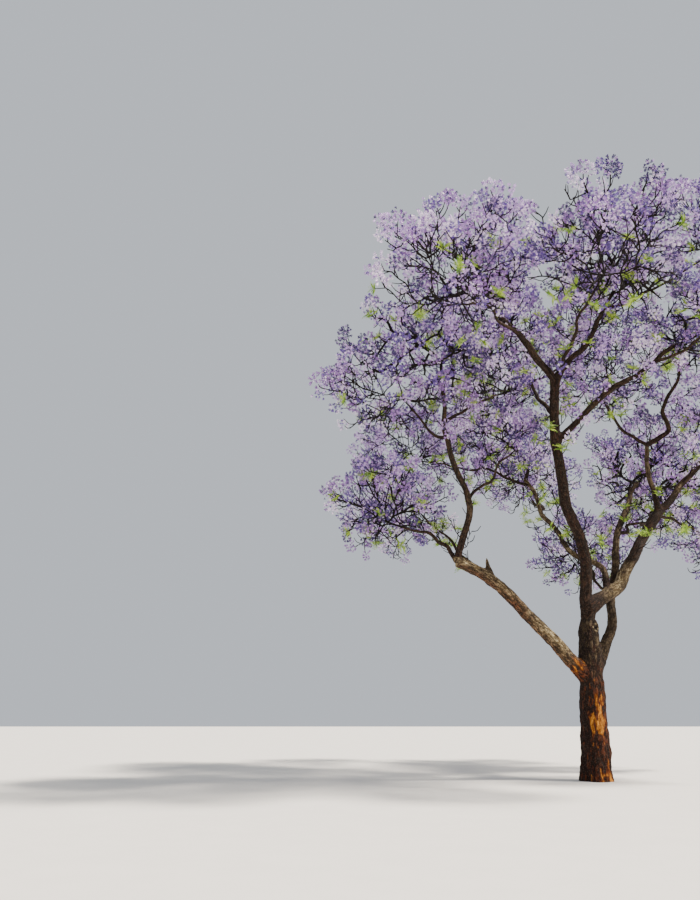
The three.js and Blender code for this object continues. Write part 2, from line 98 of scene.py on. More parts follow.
LIMBS = [
    dict(name="main_stem", base="trunk", at=1, tip=(-500, -1800, 10650),
         turns=((230, -60, 4600), (300, -150, 5680), (230, -250, 6500), (-100, -380, 7250),
                (-410, -900, 9040)),
         width=(380, 280)),
    dict(name="left_bough", base="trunk", at=0.63, tip=(-3500, -1050, 5500),
         bow=(0, 0, 330), curl=(0, 0, -120), width=(390, 310)),
    dict(name="right_bough", base="main_stem", at=0.06, tip=(3250, 1080, 7550),
         turns=((590, 90, 4630), (1180, 270, 4930), (1460, 370, 5090), (1610, 460, 5450),
                (2240, 680, 6350)),
         width=(390, 290)),
    dict(name="rear_bough", base="trunk", at=0.64, tip=(3300, 2800, 9000),
         turns=((560, 150, 3070), (1000, 350, 3900), (1230, 720, 4700), (1450, 950, 5360),
                (1900, 1100, 6930), (2250, 1400, 7700), (3040, 1900, 8680)),
         width=(330, 120), spread=2300),
    dict(name="left_riser", base="left_bough", at=1, tip=(-3800, -2200, 10400),
         bow=(250, 0, 0), curl=(200, 0, 0), width=(210, 120), spread=2100),
    dict(name="left_elbow_limb", base="left_bough", at=1, tip=(-4950, -900, 6520),
         turns=((-3640, -1050, 6000), (-4020, -1000, 6230), (-4650, -950, 6330)), width=(130, 65),
         spread=1650, lift=1.2),
    dict(name="left_rear_limb", base="left_bough", at=0.55, tip=(-4000, 2300, 7700),
         bow=(0, 200, 0), width=(120, 60), spread=2100, lift=0.3),
    dict(name="riser_inner_limb", base="left_riser", at=0.33, tip=(-1600, -200, 8900),
         width=(95, 55), spread=1400),
    dict(name="riser_upper_limb", base="left_riser", at=0.77, tip=(-1900, -900, 10600),
         bow=(0, 0, 100), width=(95, 55), spread=1600),
    dict(name="riser_outer_limb", base="left_riser", at=0.68, tip=(-4700, -2500, 9400),
         bow=(0, 0, -150), width=(95, 55), spread=1900, lift=0.4),
    dict(name="stem_left_fork", base="main_stem", at=1, tip=(-2400, -3000, 12400),
         width=(240, 130), spread=2100),
    dict(name="stem_right_fork", base="main_stem", at=1, tip=(1000, -3000, 12700),
         bow=(150, 0, 0), width=(190, 110), spread=2000),
    dict(name="right_fork_limb", base="stem_right_fork", at=0.85, tip=(3000, -3900, 13100),
         bow=(0, 0, -150), width=(95, 55), spread=1900, lift=1),
    dict(name="stem_front_limb", base="main_stem", at=0.93, tip=(-300, -5000, 11500),
         bow=(0, 0, 250), width=(120, 60), spread=2200),
    dict(name="stem_rear_limb", base="main_stem", at=0.85, tip=(-900, 500, 12700),
         bow=(0, 200, 0), width=(140, 70), spread=2200, lift=1.5),
    dict(name="rear_top_limb", base="stem_rear_limb", at=0.55, tip=(1500, 900, 13000),
         bow=(100, 0, -100), width=(90, 55), spread=2100, lift=1.2),
    dict(name="middle_limb", base="main_stem", at=0.74, tip=(3500, -2600, 11700),
         bow=(0, 0, 300), width=(200, 110), spread=2200),
    dict(name="front_right_limb", base="middle_limb", at=0.55, tip=(3700, -5000, 10700),
         bow=(0, 0, 150), width=(100, 55), spread=2100),
    dict(name="front_left_limb", base="stem_left_fork", at=0.5, tip=(-3500, -5200, 11000),
         bow=(0, 0, 250), width=(100, 55), spread=2100),
    dict(name="right_outer_limb", base="right_bough", at=1, tip=(5800, 1800, 10500),
         bow=(100, 0, -150), width=(240, 120), spread=2200),
    dict(name="right_riser", base="right_bough", at=0.97, tip=(3000, 700, 9600),
         bow=(-50, 0, 0), curl=(60, 0, 0), width=(180, 130)),
    dict(name="right_top_limb", base="right_riser", at=1, tip=(3700, -800, 11700),
         turns=((3580, 430, 9950), (3430, 150, 10560), (3850, -350, 11300)), width=(170, 85),
         spread=2000, lift=1.2),
    dict(name="right_inner_limb", base="right_riser", at=1, tip=(1700, 400, 11000),
         bow=(-200, 0, -100), width=(115, 60), spread=1900, lift=1.5),
    dict(name="right_low_limb", base="right_bough", at=0.92, tip=(5100, 2200, 6950),
         bow=(0, 0, 250), width=(95, 55), spread=2000, lift=-0.1),
    dict(name="right_front_limb", base="right_outer_limb", at=0.35, tip=(5900, -1600, 9600),
         bow=(0, 0, 150), width=(100, 55), spread=2000, lift=0.4),
    dict(name="rear_right_limb", base="rear_bough", at=0.6, tip=(4900, 5000, 8700),
         bow=(0, 0, -150), width=(110, 60), spread=2100, lift=0.4),
    dict(name="rear_low_limb", base="rear_bough", at=0.35, tip=(1900, 5000, 7100),
         bow=(0, 0, -200), width=(110, 60), spread=2000, lift=0.2),
    dict(name="cross_limb", base="right_bough", at=0.2, tip=(-600, 2100, 8900),
         turns=((1090, 520, 5600), (880, 680, 5840), (430, 900, 5990), (0, 1150, 6540),
                (-100, 1350, 7250)),
         width=(190, 130)),
    dict(name="cross_top_limb", base="cross_limb", at=1, tip=(-1000, 2500, 11200),
         bow=(300, 0, 0), width=(110, 60), spread=2000, lift=0.9),
    dict(name="cross_left_limb", base="cross_limb", at=0.95, tip=(-3600, 3200, 9900),
         bow=(0, 0, 150), width=(95, 55), spread=2200),
    dict(name="cross_rear_limb", base="cross_limb", at=0.6, tip=(200, 5000, 9800),
         bow=(0, 0, -150), width=(110, 60), spread=2200),
]

# Sizes of what the scene adds to the frame's wood
FINE_STEP = 60  # between two points of a limb's fine line
LIMB_ELBOWS = [(690, 125), (290, 34)]  # from one elbow of a limb to the next, and how far it stands out
ELBOW_SLIP = 0.5  # how unevenly the elbows are spaced
ELBOW_TURN = 2.4  # how far an elbow's bearing strays from the far side of the one before
TURN_EASINGS = 5  # a limb's turns are rounded off this many times
FOOT_EASE = 350  # a limb's foot runs onto its parent's fine line over this length
SHOULDER = 240  # the trunk's head narrows into the main stem over this height
SHOULDER_SINK = 0.9  # to this share of the stem's width, inside it
TRUNK_SKIN_SIDES = 96
TRUNK_RING_STEP = 40.0
TRUNK_DEPTH = 120  # the trunk's skin starts this far down, and is cut flat at the ground later
BOUGH_SKIN_SIDES = 28
LIMB_SKIN_SIDES = 9
WOOD_VOXEL = 28
WOOD_SMOOTHING = 3
CROTCH_EASINGS = 24
CORNERS_AT_ONCE = 8000
TRUNK_SEAM = 3750  # the trunk's own piece ends here
TRUNK_ROOM = 560  # what stands further than this from the trunk's middle is a bough's
ELBOW_SEED = 501

# Bark
BARK_MARKS = ["grain", "furrow_and_shade", "paleness", "flaked", "redness"]  # what each corner of the wood knows
FURROW_WIDTH = 62  # across the grain, from one furrow of the trunk's bark to the next
FURROW_LENGTH = 300
FURROW_WIDTHS = ([60, 330], [34, FURROW_WIDTH])  # by the wood's radius
FURROW_DEPTHS = ([45, 130, 330], [2.5, 6, 15])  # by the wood's radius too
LIMB_SHIFT = np.array([1700.0, 3100.0, 900.0])  # sets each limb apart from the next in the bark's pattern
LUMP_SHARE = 0.1  # how far the wood's lumps stand out, as a share of its radius
FLAKE_BEARING = math.radians(-84)  # the side of the trunk that has shed most of its outer bark
FLAKE_HEIGHTS = (950, 1300, 1850, 2350)  # the bare patch starts, is whole, starts to end and has ended
BITS_TOP = (2300, 3000)  # smaller bare bits grow fewer from the one height to the other
ROOT_BEARING = math.radians(-62)  # the side of the root that has shed some too
ROOT_TOP = (60, 420)
FOOT_REACH = (330, 560, 500, 1200)  # the left bough's bare foot, along the bough
SCAR = (2900, 500)  # a reddish scar on the left bough: its middle along the bough, and its reach
RED_TOP = (2000, 3300)  # the trunk turns from red to grey between these heights
RED_FOOT = (600, 1500)  # and the left bough between these distances along it
PALE_START = (350, 1200)  # a sunlit bough grows pale from the one distance to the other
RIGHT_PALE_END = (1700, 2500)  # and the right bough, which bends out of the sun, dark again
SUNLIT = dict(main_stem=0, left_bough=0.95, right_bough=0.65, right_outer_limb=0.35, right_riser=0.3,
              cross_limb=0.45, rear_bough=0.15)  # how pale each bough's upper side is
USUAL_SUNLIT = 0.08
STUB = dict(limb="left_bough", at=0.745, lean=(-0.12, 0, 1), heights=[-120, 40, 120, 200, 290, 370, 440],
            radii=[150, 128, 92, 78, 66, 40, 10])
STUB_DARKNESS = 330  # the wood within about this distance of the stub loses its paleness
# What is left of a third leader: a stump with a pale rim round a dark hollow
STUMP = dict(foot=(320, -60, 3720), lean=(0.3, -0.75, 0.6), heights=[-150, 0, 110, 190, 222],
             radii=[160, 150, 128, 108, 88])
HOLLOW_RADIUS = 62
HOLLOW_DEPTH = 70
RIM_RADIUS = 115

# How the crown is carried on past the source's twigs. Each stage gives the count of goals to a mass,
# where they lie between its middle and its outside, and the length of each twig's last stretch as a
# share of the mass's spread. The first stage is the source's own.
STAGES = [
    dict(count=8, reach=(0.8, 0.98), spray=0.38, radius=TWIG_TIP_RADIUS),
    dict(count=26, reach=(0.6, 0.97), spray=0.14, radius=8),
    dict(count=30, reach=(0.35, 0.95), spray=0.1, radius=8),
]
USUAL_SPREAD = 2050  # past the first stage, a mass of another spread has more or fewer by its outside
MOST_SHOOTS = 2  # from one joint, past the source's own stage
TWIG_STEP = 92  # between two points of a twig's fine line
TWIG_ELBOWS = (280, 56)
STEM_DEPTH = 20  # how far a mass's stem starts inside its limb's tip
FINE_TIP_RADIUS = 13
SPRIG_GAP = 140  # between two sprigs along a twig
SPRIG_FIRST = 0.3  # the share of a twig that has no sprigs on it
SPRIG_LENGTHS = (230, 520)
SPRIG_POINTS = 4
SPRIG_ELBOW = 0.09
SPRIG_RADII = (16, 10)
SPRIG_ROOM = 4  # the radius that a sprig is tried with, in its mass's space and beside the limbs
CROOK_SEED = 5000
SPRIG_SEED = 9000

# Side shoots of the upper limbs
SHOOT_GAP = 380
SHOOT_LENGTHS = (450, 1050)
SHOOT_LOWEST = 5600  # the limbs are bare below this height
SHOOT_BLOOM = (7400, 9800)  # they bear no blossom below the one height, and all of it above the other
SHOOT_RADII = (17, 8)
SHOOT_SEED = 4001

# Blossom: a flower is about one and a half times life size, so that the count that the scene can hold
# fills the crown as it is filled in life
FLOWER_LENGTH = 74
FLOWER_RADIUS = 36
PETALS = 5
PETAL_WIDTH = 30
FLOWERS = 18  # of a panicle's own tone
SPECKS = 5  # and of another tone among them
PANICLE_LENGTH = 270
PANICLE_RADIUS = 135
PANICLE_SHAPES = 9
BLOSSOM_SHARE = 0.95
BARE_SPRAYS = 0.2  # the share of sprays with hardly a flower
LEAF_SHARE = 0.03
SHOOT_LEAF_SHARE = 0.14
CROWN_MARGIN = 300  # how far past the solids' box a panicle may reach
CROWN_SEED = 7
# Painted light: each shade's two colours are a painted shaded tone and a painted lit one, mottled over
# its petals, and the paler shades are brightened to stand for sun shining through the petals
SHADES = [  # each one's deeper and paler colour, and the share of the panicles up to it
    ("blossom_shaded", "#251a44", "#473678", 0.18),
    ("blossom_deep", "#4a377e", "#7559ad", 0.4),
    ("blossom_violet", "#7b53a0", "#b189cd", 0.62),
    ("blossom_lilac", "#a886c8", "#d9bff0", 0.81),
    ("blossom_pale", "#d2baf0", "#fbf4ff", 1.0),
]

# Young leaves
LEAF_LENGTH = 175
LEAF_PAIRS = 6
LEAFLET_LENGTH = 62
LEAFLET_WIDTH = 32
TUFT_LEAVES = 13
TUFT_SHAPES = 5

# The studio, and the camera that stands where the photograph was taken
FLOOR_REACH = 90000.0
PHOTO_HEIGHT = 900  # pixels
FOCAL_LENGTH = 701  # pixels, by the photograph's perspective
SENSOR = 36
CAMERA_TILT = 20.7  # degrees up
CAMERA_PLACE = (-6.4, -20.0, 1.6)  # metres


def seeded(seed):
    """A stream of numbers from 0 to 1, the same as the source's for the same seed."""
    state = seed & WORD

    def draw():
        nonlocal state
        state = (state + 0x6D2B79F5) & WORD
        mixed = ((state ^ (state >> 15)) * (state | 1)) & WORD
        mixed ^= (mixed + (mixed ^ (mixed >> 7)) * (mixed | 61)) & WORD
        return (mixed ^ (mixed >> 14)) / 2**32

    return draw


def between(low, high, share):
    return low + (high - low) * share


def unit(direction):
    return direction / np.linalg.norm(direction, axis=-1, keepdims=True)


def sideways(direction):
    """Two directions square to each other and to the given one."""
    across = UP if abs(direction[2]) < 0.9 else EAST
    first = unit(np.cross(across, direction))
    return first, unit(np.cross(direction, first))


def untwisted(along):
    """A direction square to each of a path's ways, turned along with them so that it doesn't twist."""
    across = np.empty_like(along)
    turned = sideways(along[0])[0]
    for i, way in enumerate(along):
        turned = unit(turned - way * (turned @ way))
        across[i] = turned
    return across


def rings_along(path, radii, sides):
    """Rings of points round a path."""
    path = np.asarray(path, float)
    along = unit(np.vstack([path[1:], path[-1:]]) - np.vstack([path[:1], path[:-1]]))
    across = untwisted(along)
    beside = np.cross(along, across)
    turn = 2 * math.pi * np.arange(sides)[None, :, None] / sides
    spokes = np.cos(turn) * across[:, None] + np.sin(turn) * beside[:, None]
    return path[:, None] + np.asarray(radii, float)[:, None, None] * spokes


def skin(rings):
    """Corners and triangles of a closed skin over rings of points, with a fan over each end."""
    count, sides = rings.shape[:2]
    here = (np.arange(count - 1)[:, None] * sides + np.arange(sides)).ravel()
    beyond = (np.arange(count - 1)[:, None] * sides + (np.arange(sides) + 1) % sides).ravel()
    fan = np.arange(1, sides - 1)
    last = np.full_like(fan, (count - 1) * sides)
    faces = np.concatenate([
        np.stack([here, beyond, beyond + sides], 1),
        np.stack([here, beyond + sides, here + sides], 1),
        np.stack([fan * 0, fan + 1, fan], 1),
        np.stack([last, last + fan, last + fan + 1], 1),
    ])
    return rings.reshape(-1, 3), faces


def tube(path, radii, sides):
    return skin(rings_along(path, radii, sides))


class Pile:
    """Corners and triangles of many forms that are joined into one piece."""

    def __init__(self):
        self.corners = []
        self.faces = []
        self.count = 0

    def add(self, corners, faces):
        self.corners.append(corners)
        self.faces.append(faces + self.count)
        self.count += len(corners)

    def joined(self):
        return np.concatenate(self.corners), np.concatenate(self.faces)


def smooth_line(points, step):
    """A smooth line through a few points, in steps of about the given length."""
    points = np.asarray(points, float)
    before = np.vstack([2 * points[0] - points[1], points, 2 * points[-1] - points[-2]])
    line = []
    for i in range(len(points) - 1):
        a, b, c, d = before[i : i + 4]
        steps = max(1, round(np.linalg.norm(c - b) / step))
        t = (np.arange(steps) / steps)[:, None]
        line.append(0.5 * (2 * b + (c - a) * t + (2 * a - 5 * b + 4 * c - d) * t**2
                           + (3 * b - a - 3 * c + d) * t**3))
    return np.vstack([*line, points[-1:]])


def crooked(path, stretch, reach, draw):
    """A path with an elbow at about every stretch of it, each to the far side of the one before. Its
    two ends stay where they were."""
    ways = ways_along(path)
    count = max(2, round(ways[-1] / stretch))
    first, second = sideways(unit(path[-1] - path[0]))
    turn = 2 * math.pi * draw()
    shares = np.arange(count + 1) / count
    pushes = np.zeros((count + 1, 3))
    for i in range(1, count):
        shares[i] += ELBOW_SLIP * (draw() - 0.5) / count
        turn += math.pi + ELBOW_TURN * (draw() - 0.5)
        pushes[i] = reach * (0.5 + 0.5 * draw()) * (first * math.cos(turn) + second * math.sin(turn))
    stray = np.stack([np.interp(ways / ways[-1], shares, push) for push in pushes.T], 1)
    return path + eased_line(stray, 1)


def eased_line(path, times):
    """A path with its corners rounded off. Its two ends stay where they were."""
    path = path.copy()
    for _ in range(times):
        path[1:-1] = (path[:-2] + 2 * path[1:-1] + path[2:]) / 4
    return path


def along_path(path, share):
    """The point a share of the way along a path."""
    place = share * (len(path) - 1)
    i = min(int(place), len(path) - 2)
    return between(path[i], path[i + 1], place - i)


def way_at(path, share, margin):
    """Which way a path runs a share of the way along it, from a little before to a little after."""
    return unit(along_path(path, min(share + margin, 1)) - along_path(path, max(share - margin, 0)))


def ways_along(path):
    """How far along a path each of its points is."""
    return np.concatenate([[0], np.cumsum(np.linalg.norm(np.diff(path, axis=0), axis=1))])


def limb_line(start, tip, limb, seed, share):
    """Points of a limb's middle line: from foot to tip by its turns, then bowed, curled and wriggled."""
    t = share[:, None]
    corners = np.array([start, *limb.get("turns", ()), tip], float)
    ways = ways_along(corners)
    length = ways[-1]
    line = np.stack([np.interp(share * length, ways, corner) for corner in corners.T], 1)
    first, second = sideways(unit(tip - start))
    phase = 2 * math.pi * seeded(seed)()
    turn = 2 * math.pi * max(1, length / LIMB_WAVE) * t + phase
    limber = 1 - limb["width"][0] / STIFF_WIDTH
    sway = limber * LIMB_SWAY * length * np.sin(math.pi * t)
    bow, curl = (np.array(limb.get(bend, (0, 0, 0)), float) for bend in ("bow", "curl"))
    return (line + bow * 4 * t * (1 - t) + curl * np.sin(2 * math.pi * t)
            + first * sway * np.sin(turn) + second * sway * np.cos(SWAY_PACE * turn))


def limb_radii(length, limb, share):
    foot, tip = limb["width"]
    swell = COLLAR_SWELL if limb["at"] < 1 else 0
    collar = swell * np.exp(-share * length / (COLLAR_REACH * foot))
    return (foot + (tip - foot) * share) / 2 * (1 + collar)


def grow_limbs():
    """Every limb's middle line: the source's own points, and finer ones with small bends."""
    trunk_share = np.linspace(0, 1, 66)
    limbs = {
        "trunk": dict(
            path=np.array([np.zeros(3), TRUNK_TOP]),
            radii=np.array([TRUNK_WIDTH / 2, TRUNK_HEAD_WIDTH / 2]),
            fine=TRUNK_TOP * trunk_share[:, None],
            fine_radii=trunk_share * (TRUNK_HEAD_WIDTH - TRUNK_WIDTH) / 2 + TRUNK_WIDTH / 2,
        )
    }
    for index, limb in enumerate(LIMBS):
        parent = limbs[limb["base"]]
        start = along_path(parent["path"], limb["at"])
        tip = np.array(limb["tip"], float)
        length = ways_along(np.array([start, *limb.get("turns", ()), tip], float))[-1]
        coarse = np.linspace(0, 1, max(3, round(length / LIMB_STEP)) + 1)
        finer = np.linspace(0, 1, round(length / FINE_STEP) + 1)
        fine = eased_line(limb_line(start, tip, limb, index + 1, finer), TURN_EASINGS)
        length = np.linalg.norm(tip - start)
        limber = 1 - limb["width"][0] / STIFF_WIDTH
        for stretch, reach in LIMB_ELBOWS:
            fine = crooked(fine, stretch, reach * limber, seeded(index + ELBOW_SEED))
        shift = along_path(parent["fine"], limb["at"]) - fine[0]
        fine = fine + shift * np.exp(-finer * length / FOOT_EASE)[:, None]
        limbs[limb["name"]] = dict(
            limb=limb,
            path=limb_line(start, tip, limb, index + 1, coarse),
            radii=limb_radii(length, limb, coarse),
            fine=fine,
            fine_radii=limb_radii(length, limb, finer),
        )
    return limbs


def place_masses(limbs):
    """The masses that the limbs carry, each with a stem and an ellipsoid of space round a middle."""
    masses = []
    for limb in LIMBS:
        if "spread" in limb:
            path = limbs[limb["name"]]["path"]
            tip = path[-1]
            along = unit(tip - path[-2])
            spread = limb["spread"]
            away = unit(tip * (1, 1, 0)) + UP * limb.get("lift", MASS_LIFT)
            masses.append(dict(
                name=re.sub("_(limb|fork)$", "", limb["name"]) + "_blossom",
                seed=FIRST_MASS_SEED + len(masses),
                root=tip + along * TOUCH_GAP,
                along=along,
                radius=limbs[limb["name"]]["radii"][-1],
                middle=tip + unit(away) * MASS_OFFSET * spread,
                spread=spread,
                size=spread * np.array([1, 1, MASS_FLATNESS]),
            ))
    middles = np.array([mass["middle"] for mass in masses])
    spreads = np.array([mass["spread"] for mass in masses])
    for i, mass in enumerate(masses):
        others = np.arange(len(masses)) != i
        margins = 2 * MASS_MARGIN * np.linalg.norm(middles - mass["middle"], axis=1)
        mass["neighbours"] = (middles[others], spreads[others], margins[others])
    return masses


def power(points, middles, spreads):
    """How far outside each mass's sphere each point is, squared, in a frame where they're spheres."""
    away = (points[:, None] - middles[None]) / (1, 1, MASS_FLATNESS)
    return (away**2).sum(-1) - spreads**2


def owns(mass, points):
    """Whether points are in a mass's own space: its ellipsoid, on its side of every neighbour."""
    own = power(points, mass["middle"][None], mass["spread"])
    middles, spreads, margins = mass["neighbours"]
    return bool((own < 0).all() and (own + margins < power(points, middles, spreads)).all())


def limb_stretches(limbs):
    """Every straight stretch of the source's limbs: its two ends and its radius."""
    near = np.vstack([limb["path"][:-1] for limb in limbs.values()])
    far = np.vstack([limb["path"][1:] for limb in limbs.values()])
    wide = np.concatenate([np.maximum(limb["radii"][:-1], limb["radii"][1:]) for limb in limbs.values()])
    return near, far, wide


def clear_of_limbs(stretches, a, b, radius):
    """Whether a stretch of a given radius keeps clear of every limb."""
    c, d, wide = stretches
    u = b - a
    v = d - c
    w = a - c
    uu, uv, vv, uw, vw = u @ u, v @ u, (v * v).sum(1), w @ u, (v * w).sum(1)
    skew = np.maximum(uu * vv - uv * uv, 1e-6 * uu * vv)
    s = np.clip((uv * vw - vv * uw) / skew, 0, 1)
    t = np.clip((uv * s + vw) / vv, 0, 1)
    s = np.clip((uv * t - uw) / uu, 0, 1)
    gap = np.linalg.norm(a + s[:, None] * u - c - t[:, None] * v, axis=1)
    return bool((gap >= radius + wide + CLEARANCE).all())


def fits(path, radii, mass, stretches):
    """Whether a shoot past its first ring stays in its mass's space, if it has a mass, and all of it
    is clear of limbs."""
    path = np.asarray(path, float)
    wide = np.maximum(radii[:-1], radii[1:])
    if mass and not owns(mass, rings_along(path, radii, TWIG_SIDES)[1:].reshape(-1, 3)):
        return False
    return all(clear_of_limbs(stretches, a, b, r) for a, b, r in zip(path[:-1], path[1:], wide))


def spray_goals(mass, stage, turned, draw):
    """Where a stage's twigs reach to and which way they point: a golden-angle spiral in the mass."""
    goals = []
    count = stage["count"]
    if turned:
        count = round(count * (mass["spread"] / USUAL_SPREAD) ** 2)
    for i in range(count):
        height = 1 - 2 * (i + 0.5) / count
        ring = math.sqrt(1 - height * height)
        turn = i * GOLDEN_ANGLE + mass["seed"] + turned
        depth = between(*stage["reach"], draw())
        reach = np.array([ring * math.cos(turn), ring * math.sin(turn), height]) * mass["size"] * depth
        along = unit(unit(reach) + UP * SPRAY_LIFT)
        goals.append((mass["middle"] + reach - along * stage["spray"] * mass["spread"], along))
    return goals


def spray_path(root, along, length):
    return [root + along * SPRAY_GIRDLE * length, root + along * length]


def new_joint(point, way, base, twig):
    return dict(point=point, way=way, base=base, load=0, shoots=0, twig=twig)


def carry(joint):
    """Counts one more tip on a joint and on every joint that carries it."""
    while joint:
        joint["load"] += 1
        joint = joint["base"]


def new_twig(points, base, draw):
    """A twig's fine line through a few points, from the nearest point of the twig that it leaves."""
    parent = base["twig"]
    if parent:
        gaps = np.linalg.norm(parent["path"] - base["point"], axis=1)
        points = [parent["path"][gaps.argmin()], *points[1:]]
    path = crooked(smooth_line(points, TWIG_STEP), *TWIG_ELBOWS, draw)
    return dict(path=path, base=base, joints=[])


def grow_twigs(mass, stretches):
    """The twigs of one mass. Each runs from the handiest joint of those before it to its goal, by the
    source's rule. The first stage has the source's own twigs and side sprays, and the others go on
    from them. What would leave the mass's space or touch a limb is skipped."""
    draw = seeded(mass["seed"])
    crook_draw = seeded(mass["seed"] + CROOK_SEED)
    fork = mass["root"] + mass["along"] * STEM_SHARE * mass["spread"]
    foot = mass["root"] - mass["along"] * STEM_DEPTH
    stem = dict(path=smooth_line([foot, fork], TWIG_STEP), base=None, joints=[])
    first = new_joint(fork, 0, None, stem)
    first["load"] = 1
    stem["joints"].append(first)
    twigs = [stem]
    joints = [first]
    for number, stage in enumerate(STAGES):
        later = []
        spray = stage["spray"] * mass["spread"]
        tip_radii = [SPRAY_RADIUS * mass["spread"] if number == 0 else stage["radius"], 0]
        goals = spray_goals(mass, stage, number, draw)
        goals.sort(key=lambda goal: np.linalg.norm(goal[0] - fork))
        for goal, along in goals:
            bend = (draw() - 0.5, draw() - 0.5)
            free = [joint for joint in joints if number == 0 or joint["shoots"] < MOST_SHOOTS]
            points = np.array([joint["point"] for joint in free])
            ways = np.array([joint["way"] for joint in free])
            base = free[(np.linalg.norm(points - goal, axis=1) + DETOUR_COST * ways).argmin()]
            chord = goal - base["point"]
            length = np.linalg.norm(chord)
            if length < stage["radius"]:
                continue
            chord = chord / length
            across, beside = sideways(chord)
            middle = ((base["point"] + goal) / 2 + across * 2 * bend[0] * TWIG_BEND * length
                      + beside * 2 * bend[1] * TWIG_BEND * length)
            path = [base["point"], middle, goal, *spray_path(goal, along, spray)]
            if not fits(path, np.array([stage["radius"]] * 3 + tip_radii), mass, stretches):
                continue
            twig = new_twig(path, base, crook_draw)
            base["shoots"] += 1
            waist = between(middle, base["point"], JOINT_SHIFT)
            half = new_joint(waist, base["way"] + length / 2, base, twig)
            end = new_joint(between(goal, middle, JOINT_SHIFT), base["way"] + length, half, twig)
            head = new_joint(path[3], end["way"] + spray * SPRAY_GIRDLE, end, twig)
            joints += [half, end]
            later.append(head)
            twig["joints"] = [half, end, head]
            carry(head)
            twigs.append(twig)
            if number == 0:
                splay = across * (SPRAY_SPLAY if bend[1] > 0 else -SPRAY_SPLAY)
                aside = unit(splay + chord + UP * SPRAY_LIFT)
                root = between(middle, goal, JOINT_SHIFT)
                side = [root, *spray_path(root, aside, spray)]
                if fits(side, np.array([0, *tip_radii]), mass, stretches):
                    side_twig = new_twig(side, half, crook_draw)
                    side_head = new_joint(side[1], half["way"] + spray * SPRAY_GIRDLE, half, side_twig)
                    side_twig["joints"] = [side_head]
                    carry(side_head)
                    later.append(side_head)
                    twigs.append(side_twig)
        joints += later
    return twigs


def grow_shoots(limbs):
    """Side shoots of the upper limbs, which set off all round them and bend up to the light."""
    draw = seeded(SHOOT_SEED)
    shoots = []
    for limb in limbs.values():
        path = limb["fine"]
        count = int(ways_along(path)[-1] / SHOOT_GAP)
        turn = 2 * math.pi * draw()
        for i in range(count):
            share = (i + 0.2 + 0.6 * draw()) / count
            turn += GOLDEN_ANGLE + 0.8 * (draw() - 0.5)
            reach = between(*SHOOT_LENGTHS, draw())
            lift = 0.3 + 0.7 * draw()
            foot = along_path(path, share)
            if foot[2] < SHOOT_LOWEST:
                continue
            ahead = way_at(path, share, 0.03)
            across, beside = sideways(ahead)
            out = unit(0.6 * ahead + across * math.cos(turn) + beside * math.sin(turn) + 0.2 * UP)
            knee = foot + out * reach * 0.5
            tip = knee + unit(out + lift * UP) * reach * 0.5
            line = crooked(smooth_line([foot, knee, tip], TWIG_STEP), *TWIG_ELBOWS, draw)
            joint = new_joint(knee, 0, None, None)
            radii = np.linspace(*SHOOT_RADII, len(line))
            shoots.append(dict(path=line, base=None, joints=[joint], radii=radii))
    return shoots


def grow_sprigs(twigs, mass, stretches, draw):
    """The last shoots: sprigs that leave each twig by turns and bend upwards. Each knows its twig, so
    that a spray can keep to one tone."""
    sprigs = []
    for number, twig in enumerate(twigs):
        path = twig["path"]
        count = int(ways_along(path)[-1] * (1 - SPRIG_FIRST) / SPRIG_GAP)
        turn = 2 * math.pi * draw()
        for i in range(count):
            share = SPRIG_FIRST + (1 - SPRIG_FIRST) * (i + 0.3 + 0.5 * draw()) / count
            turn += GOLDEN_ANGLE + 0.6 * (draw() - 0.5)
            reach = between(*SPRIG_LENGTHS, draw()) * (1.15 - 0.4 * share)
            foot = along_path(path, share)
            ahead = way_at(path, share, 0.05)
            across, beside = sideways(ahead)
            aside = across * math.cos(turn) + beside * math.sin(turn)
            out = unit(ahead * 0.75 + aside + UP * 0.15)
            bent = unit(out + UP * (0.5 + 0.5 * draw()))
            knee = foot + out * reach * 0.5
            tip = knee + bent * reach * 0.5
            if not fits([foot, knee, tip], np.full(3, SPRIG_ROOM), mass, stretches):
                continue
            carry(min(twig["joints"], key=lambda joint: np.linalg.norm(joint["point"] - foot)))
            line = smooth_line([foot, knee, tip], reach / (SPRIG_POINTS - 1))
            line = crooked(line, reach / 2, reach * SPRIG_ELBOW, draw)
            sprigs.append(dict(path=line, end=bent, spray=number))
        end = unit(path[-1] - path[-2] + UP * 20)
        sprigs.append(dict(path=path[-2:], end=end, spray=number, stemless=True))
    return sprigs


def thicken(twig, mass):
    """A twig thickens with the square root of the tips that it carries, and never beyond its parent."""
    path = twig["path"]
    most = TWIG_SHARE * mass["radius"]
    places = []
    radii = []
    for joint in twig["joints"]:
        places.append(np.linalg.norm(path - joint["point"], axis=1).argmin())
        radii.append(min(FINE_TIP_RADIUS * math.sqrt(joint["load"]), most))
    if twig["base"]:
        parent = twig["base"]["twig"]
        beside = np.linalg.norm(parent["path"] - path[0], axis=1).argmin()
        radii = [min(radius, 0.92 * parent["radii"][beside]) for radius in radii]
        radii = [radii[0], *radii, FINE_TIP_RADIUS * 0.8]
        places = [0, *places, len(path) - 1]
    else:
        radii = [mass["radius"], *radii]
        places = [0, len(path) - 1]
    order = np.argsort(places, kind="stable")
    twig["radii"] = np.interp(np.arange(len(path)), np.array(places)[order], np.array(radii)[order])


def twig_sides(radius):
    return 3 if radius < 20 else 4 if radius < 34 else 6


